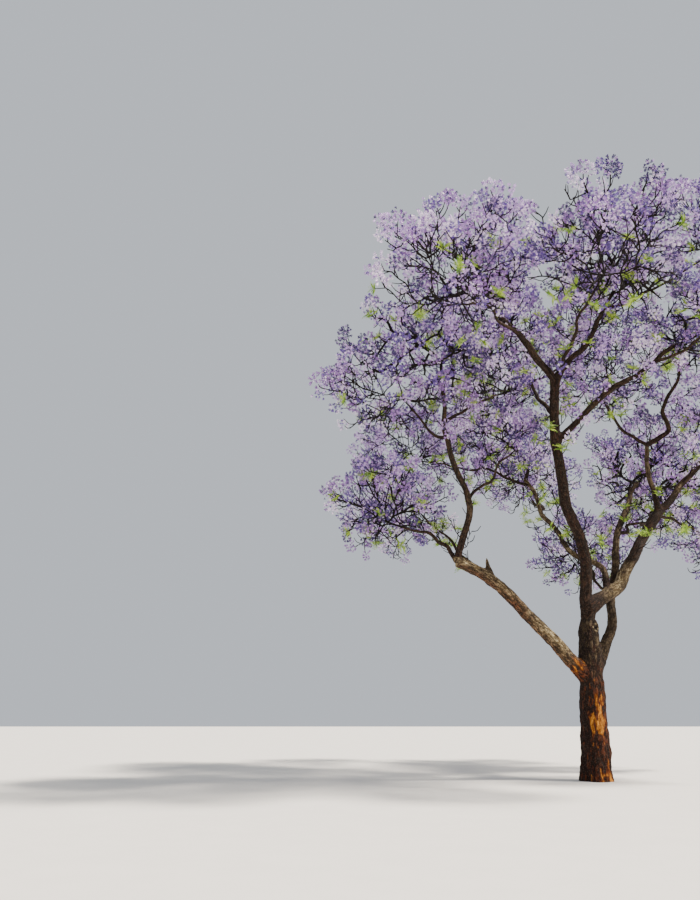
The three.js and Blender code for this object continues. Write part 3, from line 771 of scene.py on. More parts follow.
def flower():
    """One trumpet: five petals that leave one foot and stand open round the mouth."""
    half_turn = math.asin(PETAL_WIDTH / 2 / FLOWER_RADIUS)
    middle = 2 * math.pi * np.arange(PETALS) / PETALS
    turn = np.stack([middle - half_turn, middle + half_turn], 1).ravel()
    rise = FLOWER_LENGTH * np.tile([0.94, 1.0], PETALS)
    mouth = np.stack([np.cos(turn) * FLOWER_RADIUS, np.sin(turn) * FLOWER_RADIUS, rise], 1)
    left = 1 + 2 * np.arange(PETALS)
    return np.vstack([[0, 0, 0], mouth]), np.stack([left * 0, left, left + 1], 1)


def frames(directions, rolls):
    """For each direction, a frame whose third axis it is, rolled round it."""
    directions = unit(np.asarray(directions, float))
    across = np.where(np.abs(directions[:, 2:]) < 0.9, UP, EAST)
    first = unit(np.cross(across, directions))
    second = np.cross(directions, first)
    cos, sin = np.cos(rolls)[:, None], np.sin(rolls)[:, None]
    return np.stack([first * cos + second * sin, second * cos - first * sin, directions], 1)


def panicle(rng, count):
    """A pyramid of flowers round a stalk that runs up from the origin."""
    corners, faces = flower()
    share = (np.arange(count) + 0.5) / count
    turn = np.arange(count) * GOLDEN_ANGLE + rng.uniform(-0.5, 0.5, count)
    out = np.stack([np.cos(turn), np.sin(turn), 0 * turn], 1)
    reach = PANICLE_RADIUS * (1 - 0.65 * share) * rng.uniform(0.35, 1, count)
    feet = out * reach[:, None] + UP * (PANICLE_LENGTH * (0.05 + 0.95 * share))[:, None]
    along = out + UP * (rng.uniform(-0.9, 0.3, count) + share)[:, None]
    sizes = rng.uniform(0.78, 1.12, count)
    return scattered(corners, faces, feet, frames(along, rng.uniform(0, 6.3, count)), sizes)


def scattered(corners, faces, places, turns, sizes):
    """Copies of one form, each at its place, turned and sized, as one set of corners and faces."""
    moved = places[:, None] + np.einsum("vk,mkj->mvj", corners, turns * sizes[:, None, None])
    starts = np.arange(len(places))[:, None, None] * len(corners)
    return moved.reshape(-1, 3), (faces[None] + starts).reshape(-1, 3)


def leaf():
    """A young feathery leaf that arches out along X: a midrib and pairs of slim leaflets."""
    pile = Pile()
    lens = np.array([[0, 0, 0], [0.6, 0.5, 0], [1, -0.1, 0]])
    for i in range(LEAF_PAIRS + 1):
        t = (i + 0.8) / (LEAF_PAIRS + 0.8)
        foot = np.array([t, 0, 0.35 * t - 0.5 * t * t]) * LEAF_LENGTH
        long = LEAFLET_LENGTH * (1.1 - 0.5 * abs(t - 0.45))
        form = lens * (long, LEAFLET_WIDTH, 1)
        splay, droop = (1.5, -0.25) if i < LEAF_PAIRS else (0.25, -0.3)
        for side in (-1, 1):
            way = unit(np.array([1, side * splay, droop]))
            face = unit(np.cross(way, [0, side, 0.6]))
            flat = np.stack([way, np.cross(face, way), face])
            pile.add(foot + form @ flat, np.array([[0, 1, 2]]))
    rib = np.array([[0, 4, 0], [0, -4, 0], [0.55, 0, 0.04], [1, 0, -0.15]])
    rib = rib * (LEAF_LENGTH, 1, LEAF_LENGTH)
    pile.add(rib, np.array([[0, 1, 2], [1, 3, 2]]))
    return pile.joined()


def leaf_tuft(rng):
    """Young leaves that spread from one twig end, round an axis that runs up from the origin."""
    corners, faces = leaf()
    turn = np.arange(TUFT_LEAVES) * GOLDEN_ANGLE + rng.uniform(-0.3, 0.3, TUFT_LEAVES)
    rise = rng.uniform(0.1, 1.1, TUFT_LEAVES)
    out = np.stack([np.cos(turn), np.sin(turn), 0 * turn], 1)
    along = unit(out + UP * rise[:, None])
    beside = unit(np.cross(UP, along))
    turns = np.stack([along, beside, np.cross(along, beside)], 1)
    feet = UP * rng.uniform(-60, 30, TUFT_LEAVES)[:, None]
    return scattered(corners, faces, feet, turns, rng.uniform(0.7, 1.15, TUFT_LEAVES))


def scatter_shapes(shapes, places, directions, sizes, rng):
    """Copies of several forms of one kind, dealt out by turns over the places."""
    pile = Pile()
    kinds = rng.integers(len(shapes), size=len(places))
    for kind, (corners, faces) in enumerate(shapes):
        mine = kinds == kind
        turns = frames(directions[mine], rng.uniform(0, 6.3, mine.sum()))
        pile.add(*scattered(corners, faces, places[mine], turns, sizes[mine]))
    return pile.joined()


def colour(code):
    """A colour given as sRGB hex, made linear."""
    channels = [int(code[i : i + 2], 16) / 255 for i in (1, 3, 5)]
    return (*[c / 12.92 if c <= 0.04045 else ((c + 0.055) / 1.055) ** 2.4 for c in channels], 1)


def add(tree, kind, sockets=None, **settings):
    """A node with its settings, and its sockets set to a value or linked to another node's output."""
    node = tree.nodes.new(kind)
    for name, value in settings.items():
        setattr(node, name, value)
    for socket, value in (sockets or {}).items():
        if isinstance(value, bpy.types.NodeSocket):
            tree.links.new(value, node.inputs[socket])
        else:
            node.inputs[socket].default_value = value
    return node


def new_material(name):
    material = bpy.data.materials.new(name)
    material.use_nodes = True
    material.node_tree.nodes.clear()
    return material, material.node_tree


def show(tree, shader):
    add(tree, "ShaderNodeOutputMaterial", {"Surface": shader.outputs[0]})


def old_bark(name, furrow_width, furrow_length):
    """Old jacaranda bark: dry cork in long broken plates, grey with weathering and paler still where
    sunlight is painted on, nearly black in the furrows, its own dark deepened there by painted shade,
    and orange-tan where a plate has dropped off. It's rough and has no gloss at all."""
    material, tree = new_material(name)
    marks = {mark: add(tree, "ShaderNodeAttribute", attribute_name=mark).outputs for mark in BARK_MARKS}
    grain = marks["grain"]["Vector"]
    furrow_and_shade, paleness, flaked, redness = (marks[mark]["Fac"] for mark in BARK_MARKS[1:])
    across = 1 / (furrow_width * MM)
    stretched = add(tree, "ShaderNodeMapping",
                    {0: grain, 3: (across, across, 1 / (furrow_length * MM))}).outputs[0]
    ridges = add(tree, "ShaderNodeTexNoise",
                 {"Vector": stretched, "Scale": 1.6, "Detail": 7.0, "Roughness": 0.68}).outputs[0]
    plates = add(tree, "ShaderNodeTexVoronoi", {"Vector": stretched, "Scale": 1.3, "Randomness": 0.9},
                 feature="DISTANCE_TO_EDGE").outputs["Distance"]
    stains = add(tree, "ShaderNodeTexNoise",
                 {"Vector": grain, "Scale": 1 / (312.5 * MM), "Detail": 4.0, "Roughness": 0.6}).outputs[0]
    flecks = add(tree, "ShaderNodeTexNoise",
                 {"Vector": grain, "Scale": 1 / (30 * MM), "Detail": 3.0, "Roughness": 0.6}).outputs[0]
    flake_edge = add(tree, "ShaderNodeMath", {0: ridges, 1: 0.7, 2: flaked},
                     operation="MULTIPLY_ADD").outputs[0]
    # As a pattern runs from the first number to the second, its tone runs from the third to the fourth
    spans = dict(
        ridge_tone=(ridges, 0.36, 0.66, 0.0, 1.0),
        plate_tone=(plates, 0.0, 0.12, 0.35, 1.0),
        lichen=(flecks, 0.5, 0.66, 0.0, 0.36),
        rustiness=(stains, 0.3, 0.6, 0.3, 1.0),
        blotches=(stains, 0.4, 0.56, 0.25, 1.1),
        flake_share=(flake_edge, 0.62, 0.86, 0.0, 0.95),
        freshness=(flake_edge, 0.8, 1.15, 0.15, 1.1),
        inner_tone=(stains, 0.36, 0.56, 0.4, 1.2),
        mottle=(flecks, 0.38, 0.58, 0.4, 1.15),
        roughness=(ridges, 0.0, 1.0, 0.98, 0.82),
    )
    tones = {part: add(tree, "ShaderNodeMapRange", dict(enumerate(span))).outputs[0]
             for part, span in spans.items()}
    # The bark darkens where its relief lies low, in the furrows and at the plates' edges: partly its own
    # colour, partly painted shade in the crevices
    tone = add(tree, "ShaderNodeMath", {0: tones["ridge_tone"], 1: tones["plate_tone"]},
               operation="MULTIPLY").outputs[0]
    open_unshaded_wood = add(tree, "ShaderNodeMath", {0: tone, 1: furrow_and_shade},
                    operation="SUBTRACT", use_clamp=True).outputs[0]
    red_share = add(tree, "ShaderNodeMath", {0: redness, 1: tones["rustiness"]},
                    operation="MULTIPLY", use_clamp=True).outputs[0]
    pale_share = add(tree, "ShaderNodeMath", {0: paleness, 1: tones["blotches"]},
                     operation="MULTIPLY", use_clamp=True).outputs[0]
    fresh_tone = add(tree, "ShaderNodeMath", {0: tones["inner_tone"], 1: tones["freshness"]},
                     operation="MULTIPLY").outputs[0]
    mottled_tone = add(tree, "ShaderNodeMath", {0: fresh_tone, 1: tones["mottle"]},
                       operation="MULTIPLY").outputs[0]
    inner_share = add(tree, "ShaderNodeMath", {0: mottled_tone, 1: tones["ridge_tone"]},
                      operation="MULTIPLY", use_clamp=True).outputs[0]
    # For each kind of bark, the light tone's share, the dark tone and the light one
    kinds = dict(
        umber=(open_unshaded_wood, "#120c09", "#30251d"),
        rust=(open_unshaded_wood, "#1a0b06", "#743819"),
        # The pale grey of weathering, together with painted sunlight on the boughs' upper sides
        weathered_and_sunlit=(open_unshaded_wood, "#5e4e36", "#dccba0"),
        inner=(inner_share, "#54200a", "#d89439"),
    )
    barks = {kind: add(tree, "ShaderNodeMix", {0: share, 6: colour(dark), 7: colour(light)},
                       data_type="RGBA").outputs[2] for kind, (share, dark, light) in kinds.items()}
    base = barks["umber"]
    layers = [(red_share, barks["rust"]), (tones["lichen"], colour("#5f544c")),
              (pale_share, barks["weathered_and_sunlit"]), (tones["flake_share"], barks["inner"])]
    for share, layer in layers:
        base = add(tree, "ShaderNodeMix", {0: share, 6: base, 7: layer}, data_type="RGBA").outputs[2]
    relief = add(tree, "ShaderNodeBump", {"Strength": 0.8, "Distance": 0.006, "Height": tone}).outputs[0]
    show(tree, add(tree, "ShaderNodeBsdfPrincipled",
                   {"Base Color": base, "Roughness": tones["roughness"], "Normal": relief, "IOR": 1.45,
                    "Specular IOR Level": 0.2}))
    return material


def mottled(tree, size, detail, low, high, dark, light):
    """A mottle in patches of about the given size: its pattern, and two colours blended by it."""
    place = add(tree, "ShaderNodeTexCoord").outputs["Object"]
    pattern = add(tree, "ShaderNodeTexNoise",
                  {"Vector": place, "Scale": 1 / (size * MM), "Detail": detail}).outputs[0]
    share = add(tree, "ShaderNodeMapRange", {0: pattern, 1: low, 2: high}).outputs[0]
    base = add(tree, "ShaderNodeMix", {0: share, 6: colour(dark), 7: colour(light)}, data_type="RGBA")
    return pattern, base.outputs[2]


def twig_bark():
    """The thin bark of young wood, with pale raised pores, rough. Its dull grey-brown is darkened nearly
    to black as painted shade, the way backlit twigs look.
    """
    material, tree = new_material("twig_bark")
    pores, base = mottled(tree, 25, 3.0, 0.4, 0.68, "#0b0908", "#231c18")
    relief = add(tree, "ShaderNodeBump", {"Strength": 0.5, "Distance": 0.002, "Height": pores})
    show(tree, add(tree, "ShaderNodeBsdfPrincipled",
                   {"Base Color": base, "Roughness": 0.9, "Normal": relief.outputs[0], "IOR": 1.45,
                    "Specular IOR Level": 0.25}))
    return material


def petals(name, shaded, lit):
    """Fresh petals: thin, soft and faintly downy, so they're matt with a little sheen. The colour is a
    mottle, about a petal wide, between a painted shaded tone and a painted lit one."""
    material, tree = new_material(name)
    # Painted light and shade, mottled at random over the petals; the same mottle sets their roughness
    light_and_shade_mottle, base = mottled(tree, 38, 2.0, 0.36, 0.62, shaded, lit)
    rough = add(tree, "ShaderNodeMapRange", {0: light_and_shade_mottle, 3: 0.5, 4: 0.7}).outputs[0]
    show(tree, add(tree, "ShaderNodeBsdfPrincipled",
                   {"Base Color": base, "Roughness": rough, "IOR": 1.4, "Specular IOR Level": 0.3,
                    "Sheen Weight": 0.2, "Sheen Roughness": 0.5}))
    return material


def young_leaf():
    """Leaves just out of the bud: thin, tender and lime green, with a soft gloss."""
    material, tree = new_material("young_leaf")
    base = mottled(tree, 140, 3.0, 0.38, 0.6, "#5c8a2a", "#b7d14e")[1]
    show(tree, add(tree, "ShaderNodeBsdfPrincipled",
                   {"Base Color": base, "Roughness": 0.5, "IOR": 1.42, "Specular IOR Level": 0.4}))
    return material


def pale_floor():
    """Pale matt studio floor, evenly rolled, with the faint mottle of paint."""
    material, tree = new_material("pale_floor")
    base = mottled(tree, 600, 4.0, 0.0, 1.0, "#d6d3cd", "#dfdcd6")[1]
    show(tree, add(tree, "ShaderNodeBsdfPrincipled", {"Base Color": base, "Roughness": 0.9}))
    return material


def new_object(name, data):
    """An object in the scene, with its mesh, light or camera."""
    made = bpy.data.objects.new(name, data)
    bpy.context.scene.collection.objects.link(made)
    return made


def new_mesh(name, corners, faces):
    """A mesh from corners in millimetres and triangles."""
    mesh = bpy.data.meshes.new(name)
    mesh.vertices.add(len(corners))
    mesh.vertices.foreach_set("co", (corners * MM).astype(np.float32).ravel())
    mesh.loops.add(faces.size)
    mesh.loops.foreach_set("vertex_index", faces.astype(np.int32).ravel())
    mesh.polygons.add(len(faces))
    mesh.polygons.foreach_set("loop_start", np.arange(0, faces.size, 3, dtype=np.int32))
    mesh.polygons.foreach_set("use_smooth", np.ones(len(faces), bool))
    mesh.update(calc_edges=True)
    return mesh


def new_piece(name, corners, faces, material, nodes, finish=None):
    """A piece of the tree that rides on its one body and stands for the given nodes."""
    mesh = new_mesh(name, corners, faces)
    mesh.materials.append(material)
    piece = new_object(name, mesh)
    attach(piece, "root")
    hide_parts(*nodes)
    return piece


def trunk_skin():
    """The trunk's own skin, from just under the ground to where it has narrowed to the main stem."""
    heights = np.arange(-TRUNK_DEPTH, TRUNK_TOP[2] + SHOULDER + 1, TRUNK_RING_STEP)
    bearing = 2 * math.pi * np.arange(TRUNK_SKIN_SIDES) / TRUNK_SKIN_SIDES
    table_heights, table_shares = np.array(TRUNK_RINGS).T
    share = np.interp(heights, table_heights, table_shares)
    shoulder = np.clip((heights - TRUNK_TOP[2]) / SHOULDER, 0, 1)
    stem_share = LIMBS[0]["width"][0] / TRUNK_WIDTH * SHOULDER_SINK
    share = between(share, stem_share, shoulder**1.5)
    flare = 1 + FLARE_STAND * np.exp(-np.maximum(heights, 0) / FLARE_HEIGHT)
    ribs = sum(f["stand"] * np.cos(f["ribs"] * (bearing - f["facing"])) for f in FLUTES)
    radii = TRUNK_WIDTH / 2 * share[:, None] * (1 + flare[:, None] * ribs[None])
    middle = TRUNK_TOP[None, :2] * (heights / TRUNK_TOP[2])[:, None]
    ring = np.stack([np.cos(bearing), np.sin(bearing)], -1)
    flat = middle[:, None] + radii[..., None] * ring[None]
    rings = np.concatenate([flat, np.broadcast_to(heights[:, None, None], (*radii.shape, 1))], -1)
    return skin(rings)


def stump_path():
    return np.array(STUMP["foot"]) + unit(np.array(STUMP["lean"])) * np.array(STUMP["heights"])[:, None]


def stub_foot(limbs):
    """Where the broken stub stands: on the top of its limb."""
    limb = limbs[STUB["limb"]]
    return along_path(limb["fine"], STUB["at"]) + UP * limb["fine_radii"].mean()


def melted_wood(limbs):
    """The trunk and the boughs as one skin, so that each bough swells out of what carries it."""
    pile = Pile()
    pile.add(*trunk_skin())
    for limb in limbs.values():
        if "limb" in limb and limb["limb"]["width"][0] >= BOUGH_WIDTH:
            pile.add(*tube(limb["fine"], limb["fine_radii"], BOUGH_SKIN_SIDES))
    stub = stub_foot(limbs) + unit(np.array(STUB["lean"])) * np.array(STUB["heights"])[:, None]
    pile.add(*tube(stub, STUB["radii"], LIMB_SKIN_SIDES))
    pile.add(*tube(stump_path(), STUMP["radii"], BOUGH_SKIN_SIDES))
    rough = new_object("rough_wood", new_mesh("rough_wood", *pile.joined()))
    melt = rough.modifiers.new("melt", "REMESH")
    melt.mode = "VOXEL"
    melt.voxel_size = WOOD_VOXEL * MM
    soften = rough.modifiers.new("soften", "SMOOTH")
    soften.iterations = WOOD_SMOOTHING
    made = rough.evaluated_get(bpy.context.evaluated_depsgraph_get()).to_mesh()
    made.calc_loop_triangles()
    corners = np.empty(len(made.vertices) * 3, np.float32)
    made.vertices.foreach_get("co", corners)
    faces = np.empty(len(made.loop_triangles) * 3, np.int32)
    made.loop_triangles.foreach_get("vertices", faces)
    bpy.data.objects.remove(rough)
    return corners.reshape(-1, 3).astype(float) / MM, faces.reshape(-1, 3)


def eased(corners, faces, share):
    """Corners drawn towards the middle of their neighbours, so that the crotches fill in smoothly."""
    edges = np.concatenate([faces[:, [0, 1]], faces[:, [1, 2]], faces[:, [2, 0]]])
    pairs = np.unique(np.sort(edges, 1), axis=0)
    here = np.concatenate([pairs[:, 0], pairs[:, 1]])
    there = np.concatenate([pairs[:, 1], pairs[:, 0]])
    count = np.bincount(here, minlength=len(corners))[:, None]
    for _ in range(CROTCH_EASINGS):
        sums = [np.bincount(here, axis[there], len(corners)) for axis in corners.T]
        middle = np.stack(sums, 1) / count
        corners = corners + share[:, None] * (middle - corners)
    return corners


def grain_of(corners, limbs):
    """For each corner of the wood: its place in the straightened grain of the limb that it's on, its
    height above that limb's middle line and the limb's own radius and number there."""
    points, radii, ways, numbers, frames_there = [], [], [], [], []
    for number, limb in enumerate(limbs.values()):
        fine = limb["fine"]
        along = unit(np.gradient(fine, axis=0))
        across = untwisted(along)
        points.append(fine)
        radii.append(limb["fine_radii"])
        ways.append(ways_along(fine))
        numbers.append(np.full(len(fine), number))
        frames_there.append(np.stack([across, np.cross(along, across), along], 1))
    lists = (points, radii, ways, numbers, frames_there)
    points, radii, ways, numbers, frames_there = map(np.concatenate, lists)
    nearest = np.empty(len(corners), int)
    for some in np.array_split(np.arange(len(corners)), max(1, len(corners) // CORNERS_AT_ONCE)):
        squared = ((corners[some] ** 2).sum(1)[:, None] - 2 * corners[some] @ points.T
                   + (points**2).sum(1))
        nearest[some] = (np.sqrt(np.maximum(squared, 0)) - radii).argmin(1)
    local = np.einsum("nij,nj->ni", frames_there[nearest], corners - points[nearest])
    local[:, 2] += ways[nearest]
    return local, radii[nearest], numbers[nearest]


def wood_noise(places, sizes, seed):
    """Smooth noise about 0, with the given sizes of its lumps in millimetres along each axis."""
    scaled = places / sizes + seed * np.array([13.7, 7.9, 4.1])
    return np.array([noise.noise(place) for place in scaled.tolist()])


def smooth_steps(values, low, high):
    """Nothing below the low value, one above the high one, and smooth between them."""
    t = np.clip((values - low) / (high - low), 0, 1)
    return t * t * (3 - 2 * t)


def fall(values, low, high):
    return 1 - smooth_steps(values, low, high)


def window(values, start, whole, wane, end):
    return smooth_steps(values, start, whole) * fall(values, wane, end)


def trunk_bearing(corners):
    """The bearing of each corner from the trunk's leaning middle line."""
    return np.arctan2(corners[:, 1], corners[:, 0] - TRUNK_TOP[0] * corners[:, 2] / TRUNK_TOP[2])


def shed_trunk(corners, patchy):
    """Where the trunk has shed its outer bark: in one tall patch, on a root, and in bits round them."""
    height = corners[:, 2]
    bearing = trunk_bearing(corners)
    facing = np.cos(bearing - FLAKE_BEARING)
    patch = window(height, *FLAKE_HEIGHTS) * smooth_steps(facing, 0.6, 0.97) * (0.72 + 1.15 * patchy)
    bits = fall(height, *BITS_TOP) * smooth_steps(facing, -0.2, 0.9) * smooth_steps(patchy, 0.2, 0.6)
    root = fall(height, *ROOT_TOP) * smooth_steps(np.cos(bearing - ROOT_BEARING), 0.75, 0.98)
    return np.maximum(np.maximum(patch, root * (0.62 + patchy)), 0.58 * bits)


def limb_number(name):
    """A limb's number on the wood: the trunk's is 0, and the others follow in their order."""
    return 1 + [limb["name"] for limb in LIMBS].index(name)


def bark_relief(corners, normals, limbs):
    """How far each corner of the wood stands out, and what its bark is like there."""
    local, radius, number = grain_of(corners, limbs)
    on_trunk = number == 0
    on_left = number == limb_number("left_bough")
    height = corners[:, 2]
    along_limb = local[:, 2]
    grain = local + number[:, None] * LIMB_SHIFT
    width = np.interp(radius, *FURROW_WIDTHS)[:, None]
    depth = np.interp(radius, *FURROW_DEPTHS)
    grown = np.hstack([width, width, width * FURROW_LENGTH / FURROW_WIDTH])
    drift = wood_noise(grain, 240, 3)[:, None] * 30
    furrow_and_shade = fall(np.abs(wood_noise(grain + drift, grown, 1)), 0.02, 0.3)
    crack = fall(np.abs(wood_noise(grain + drift, grown * [0.9, 0.9, 0.42], 2)), 0.0, 0.16)
    lumps = (wood_noise(grain, 330, 4) + 0.6 * wood_noise(grain, 130, 5)) * LUMP_SHARE * radius
    patchy = wood_noise(grain, np.array([95, 95, 330]), 6)
    patchy = patchy + 0.6 * wood_noise(grain, np.array([38, 38, 100]), 7)
    foot = on_left * window(along_limb, *FOOT_REACH) * (0.66 + patchy)
    # Painted shade: the bare foot's orange is a little fainter on its underside
    foot = foot * (0.8 + 0.2 * smooth_steps(normals[:, 2], -0.5, 0.3))
    flaked = np.clip(np.where(on_trunk, shed_trunk(corners, patchy), foot), 0, 1)
    stands = lumps - depth * (0.75 * furrow_and_shade + 0.45 * crack + 0.35 * flaked)

    rise = smooth_steps(height, *RED_TOP)
    # Painted light: a bough's underside is painted darker and redder as painted shade, and its upper side
    # paler as painted sunlight along with real weathering
    underside = fall(normals[:, 2], -0.75, 0.15)
    scar = on_left * np.exp(-(((along_limb - SCAR[0]) / SCAR[1]) ** 2))
    redness = np.where(on_trunk, 1 - 0.8 * rise,
                       0.15 + 0.7 * scar + 0.8 * on_left * (underside + fall(along_limb, *RED_FOOT)))
    from_stub = np.linalg.norm(corners - stub_foot(limbs), axis=1) / STUB_DARKNESS
    sunlit = np.array([0, *(SUNLIT.get(limb["name"], USUAL_SUNLIT) for limb in LIMBS)])
    paleness = sunlit[number] * smooth_steps(along_limb, *PALE_START) * (1 - 0.75 * underside)
    paleness *= (1 - 0.7 * scar) * (1 - 0.95 * np.exp(-(from_stub**2)))
    paleness *= 1 - (number == limb_number("right_bough")) * smooth_steps(along_limb, *RIGHT_PALE_END)
    paleness = np.where(on_trunk, 0.22 * rise * (patchy > 0.1), paleness)
    # Painted shade: the trunk's left side, away from the key light, is painted darker along with its
    # furrows
    left_side_shade = 0.3 * on_trunk * smooth_steps(-np.cos(trunk_bearing(corners)), -0.1, 0.8)
    from_stump = np.linalg.norm(corners - stump_path()[-1], axis=1)
    hollow = np.exp(-((from_stump / HOLLOW_RADIUS) ** 2))
    rim = fall(from_stump, 0.8 * RIM_RADIUS, 1.2 * RIM_RADIUS)
    rim *= smooth_steps(wood_noise(corners, 70, 8), -0.25, 0.15)
    paleness = np.maximum(paleness, rim) * fall(hollow, 0.1, 0.4)
    furrow_and_shade = np.maximum(0.6 * furrow_and_shade + left_side_shade, 2 * hollow) * (1 - 0.7 * rim * (hollow < 0.2))
    marks = (grain * MM, furrow_and_shade, paleness, flaked * (1 - rim), redness * (1 - rim))
    return stands - HOLLOW_DEPTH * hollow, dict(zip(BARK_MARKS, marks))


def corner_normals(corners, faces):
    first, second, third = (corners[faces[:, i]] for i in range(3))
    across = np.cross(second - first, third - first)
    normals = np.zeros_like(corners)
    for i in range(3):
        for axis in range(3):
            normals[:, axis] += np.bincount(faces[:, i], across[:, axis], len(corners))
    return normals / np.maximum(np.linalg.norm(normals, axis=1, keepdims=True), 1e-9)


def barked_piece(name, corners, faces, normals, marks, material, nodes, finish):
    """A piece of wood with its bark's marks on its corners. It keeps the whole wood's normals, so
    that no seam shows where two pieces meet."""
    used, where = np.unique(faces, return_inverse=True)
    piece = new_piece(name, corners[used], where.reshape(-1, 3), material, nodes, finish)
    for mark, values in marks.items():
        kind, key = ("FLOAT_VECTOR", "vector") if values.ndim == 2 else ("FLOAT", "value")
        layer = piece.data.attributes.new(mark, kind, "POINT")
        layer.data.foreach_set(key, values[used].astype(np.float32).ravel())
    piece.data.normals_split_custom_set_from_vertices(normals[used])
    return piece


def build_wood(limbs):
    """The trunk, the boughs and the thinner limbs, with their bark's relief."""
    trunk_bark = old_bark("trunk_bark", FURROW_WIDTH * 1.4, FURROW_LENGTH)
    bough_bark = old_bark("bough_bark", FURROW_WIDTH * 1.9, FURROW_LENGTH * 1.3)
    corners, faces = melted_wood(limbs)
    radius = grain_of(corners, limbs)[1]
    ease = 0.6 * smooth_steps(radius, 80, 260) * smooth_steps(corners[:, 2], 300, 900)
    corners = eased(corners, faces, ease)
    normals = corner_normals(corners, faces)
    stands, marks = bark_relief(corners, normals, limbs)
    corners = corners + normals * stands[:, None]
    corners[:, 2] = np.maximum(corners[:, 2], 0)
    faces = faces[corners[faces][:, :, 2].max(1) > 0]
    normals = corner_normals(corners, faces)
    middle = corners[faces].mean(1)
    axis = TRUNK_TOP[None, :2] * (middle[:, 2] / TRUNK_TOP[2])[:, None]
    away = np.linalg.norm(middle[:, :2] - axis, axis=1)
    on_trunk = (middle[:, 2] < TRUNK_SEAM) & (away < TRUNK_ROOM)
    boughs = [limb["name"] for limb in LIMBS if limb["width"][0] >= BOUGH_WIDTH]
    thinner = [limb["name"] for limb in LIMBS if limb["width"][0] < BOUGH_WIDTH]
    barked_piece("trunk_wood", corners, faces[on_trunk], normals, marks, trunk_bark, ["trunk"],
                 "trunk_bark")
    barked_piece("bough_wood", corners, faces[~on_trunk], normals, marks, bough_bark, boughs,
                 "bough_bark")
    pile = Pile()
    for name in thinner:
        pile.add(*tube(limbs[name]["fine"], limbs[name]["fine_radii"], LIMB_SKIN_SIDES))
    corners, faces = pile.joined()
    normals = corner_normals(corners, faces)
    stands, marks = bark_relief(corners, normals, limbs)
    corners = corners + normals * stands[:, None]
    barked_piece("limb_wood", corners, faces, corner_normals(corners, faces), marks, bough_bark, thinner,
                 "bough_bark")


def grow_crown(limbs, masses):
    """The side shoots and each mass's growth: groups of a mass, if they have one, twigs and sprigs."""
    stretches = limb_stretches(limbs)
    shoots = grow_shoots(limbs)
    groups = [(None, shoots, grow_sprigs(shoots, None, stretches, seeded(SHOOT_SEED + 1)))]
    for mass in masses:
        twigs = grow_twigs(mass, stretches)
        sprigs = grow_sprigs(twigs[1:], mass, stretches, seeded(mass["seed"] + SPRIG_SEED))
        for twig in twigs:
            thicken(twig, mass)
        groups.append((mass, twigs, sprigs))
    return groups


def build_twigs(groups, nodes):
    twig_pile, sprig_pile = Pile(), Pile()
    for _, twigs, sprigs in groups:
        for twig in twigs:
            twig_pile.add(*tube(twig["path"], twig["radii"], twig_sides(twig["radii"].max())))
        for sprig in sprigs:
            if "stemless" not in sprig:
                radii = np.linspace(*SPRIG_RADII, len(sprig["path"]))
                sprig_pile.add(*tube(sprig["path"], radii, 3))
    young_wood = twig_bark()
    new_piece("twigs", *twig_pile.joined(), young_wood, nodes)
    new_piece("sprigs", *sprig_pile.joined(), young_wood, nodes)


def crown_ends(groups, rng):
    """A row for the end of each sprig that blossom may start from: its place and its way, its spray's
    tone, how far out and how high in its mass it is, and how leafy and how full of bloom."""
    ends = []
    for mass, twigs, sprigs in groups:
        tones = rng.normal(0, 0.9, len(twigs))
        blooms = np.where(rng.uniform(0, 1, len(twigs)) < BARE_SPRAYS, 0.15, 1)
        leafy = LEAF_SHARE if mass else SHOOT_LEAF_SHARE
        for sprig in sprigs:
            tip = sprig["path"][-1]
            outward = (tip - mass["middle"]) / mass["size"] if mass else UP * 0.7
            bloom = blooms[sprig["spray"]] * (1 if mass else smooth_steps(tip[2], *SHOOT_BLOOM))
            ends.append((*tip, *sprig["end"], tones[sprig["spray"]], np.linalg.norm(outward),
                         outward[2], leafy, bloom))
    ends = np.array(ends)
    reached = ends[:, :3] + ends[:, 3:6] * PANICLE_LENGTH
    low, high = np.array(cad_box) / MM
    return ends[((reached > low - CROWN_MARGIN) & (reached < high + CROWN_MARGIN)).all(1)]


def build_blossom(ends, flowering, rng, nodes):
    """Panicles on the flowering ends, dealt out in shades as painted light: the higher and the further
    out in its mass, the paler one is, as painted sunlight, and the deeper inside, the darker, as painted
    shade. Each has a few flowers of another shade among its own."""
    places, directions = ends[:, :3], ends[:, 3:6]
    tones, depths, heights = ends[:, 6:9].T
    panicles = [panicle(rng, FLOWERS) for _ in range(PANICLE_SHAPES)]
    specks = [panicle(rng, SPECKS) for _ in range(PANICLE_SHAPES)]
    crown_low, crown_high = places[:, 2].min(), places[:, 2].max()
    sunny = (places[:, 2] - crown_low) / (crown_high - crown_low)
    # Painted light: a random tone for each spray, made paler high and outside as painted sunlight and
    # deeper inside as painted shade
    tone = tones + rng.normal(0, 0.3, len(ends)) + 0.1 * sunny + 0.5 * heights + 0.6 * depths
    limits = np.quantile(tone[flowering], [0, *(share for *_, share in SHADES)])
    own = np.clip(np.searchsorted(limits, tone, side="right") - 1, 0, len(SHADES) - 1)
    other = (own + rng.integers(2, 4, len(ends))) % len(SHADES)
    for i, (name, shaded, lit, _) in enumerate(SHADES):
        pile = Pile()
        for shapes, dealt in ((panicles, own), (specks, other)):
            mine = flowering & (dealt == i)
            sizes = rng.uniform(0.8, 1.2, mine.sum())
            pile.add(*scatter_shapes(shapes, places[mine], directions[mine], sizes, rng))
        new_piece(name, *pile.joined(), petals(name, shaded, lit), nodes, "blossom")


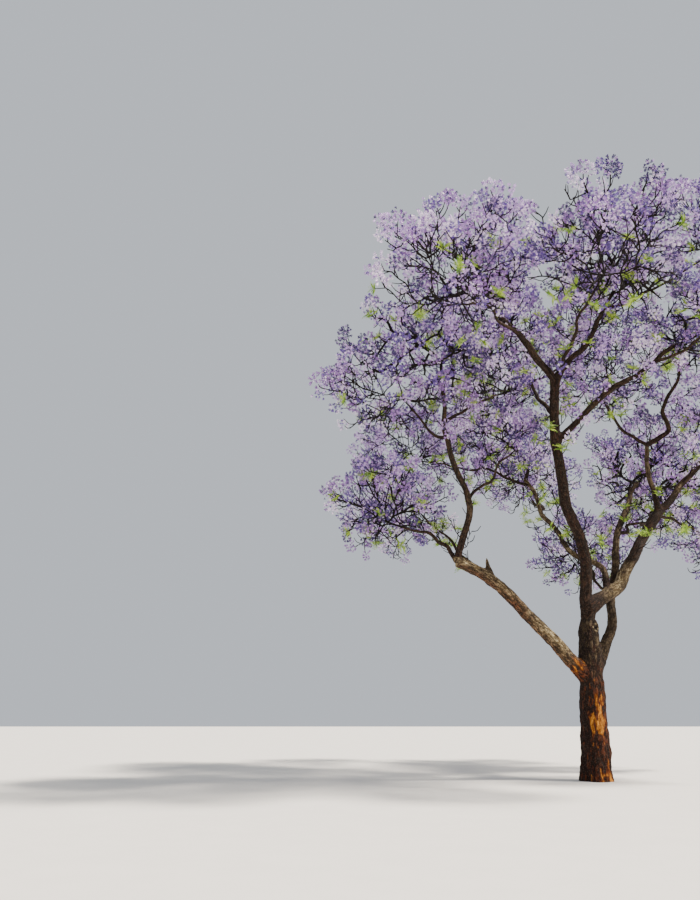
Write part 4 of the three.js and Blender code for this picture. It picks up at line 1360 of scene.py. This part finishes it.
def build_leaves(ends, rng, nodes):
    tufts = [leaf_tuft(rng) for _ in range(TUFT_SHAPES)]
    sizes = rng.uniform(0.8, 1.25, len(ends))
    made = scatter_shapes(tufts, ends[:, :3], ends[:, 3:6], sizes, rng)
    new_piece("young_leaves", *made, young_leaf(), nodes)


def build_crown(limbs):
    """Twigs, sprigs, blossom and young leaves of every mass, each kind joined apart. Blossom is
    thinner deep inside a mass and on its underside."""
    masses = place_masses(limbs)
    nodes = [mass["name"] for mass in masses]
    rng = np.random.default_rng(CROWN_SEED)
    groups = grow_crown(limbs, masses)
    build_twigs(groups, nodes)
    ends = crown_ends(groups, rng)
    depths, heights, leaf_shares, blooms = ends[:, 7:].T
    kind = rng.uniform(0, 1, len(ends))
    leafy = kind < leaf_shares
    likely = BLOSSOM_SHARE * blooms * (0.35 + 0.65 * smooth_steps(depths, 0.4, 0.85))
    likely = likely * (0.35 + 0.65 * smooth_steps(heights, -0.6, 0.3))
    build_blossom(ends, ~leafy & (kind < leaf_shares + likely), rng, nodes)
    build_leaves(ends[leafy], rng, nodes)


def build_studio():
    """A pale floor, soft light all round, a soft key light, and the camera that the tree is seen by."""
    scene = bpy.context.scene
    square = np.array([[-1, -1, 0], [1, -1, 0], [1, 1, 0], [-1, 1, 0]]) * FLOOR_REACH
    floor = new_object("floor", new_mesh("floor", square, np.array([[0, 1, 2], [0, 2, 3]])))
    floor.data.materials.append(pale_floor())
    world = bpy.data.worlds.new("studio")
    world.use_nodes = True
    background = world.node_tree.nodes["Background"]
    background.inputs["Color"].default_value = colour("#e3e9f2")
    background.inputs["Strength"].default_value = 0.8
    scene.world = world
    key = new_object("key", bpy.data.lights.new("key", "SUN"))
    key.data.energy = 12
    key.data.angle = math.radians(6)
    key.data.color = colour("#fff4e6")[:3]
    key.rotation_euler = (math.radians(38), 0, math.radians(75))
    camera = new_object("camera", bpy.data.cameras.new("camera"))
    camera.data.sensor_width = SENSOR
    camera.data.lens = SENSOR * FOCAL_LENGTH / PHOTO_HEIGHT
    camera.location = CAMERA_PLACE
    camera.rotation_euler = (math.radians(90 + CAMERA_TILT), 0, 0)
    camera.data.clip_end = 500
    scene.camera = camera


limbs = grow_limbs()
build_wood(limbs)
build_crown(limbs)
build_studio()
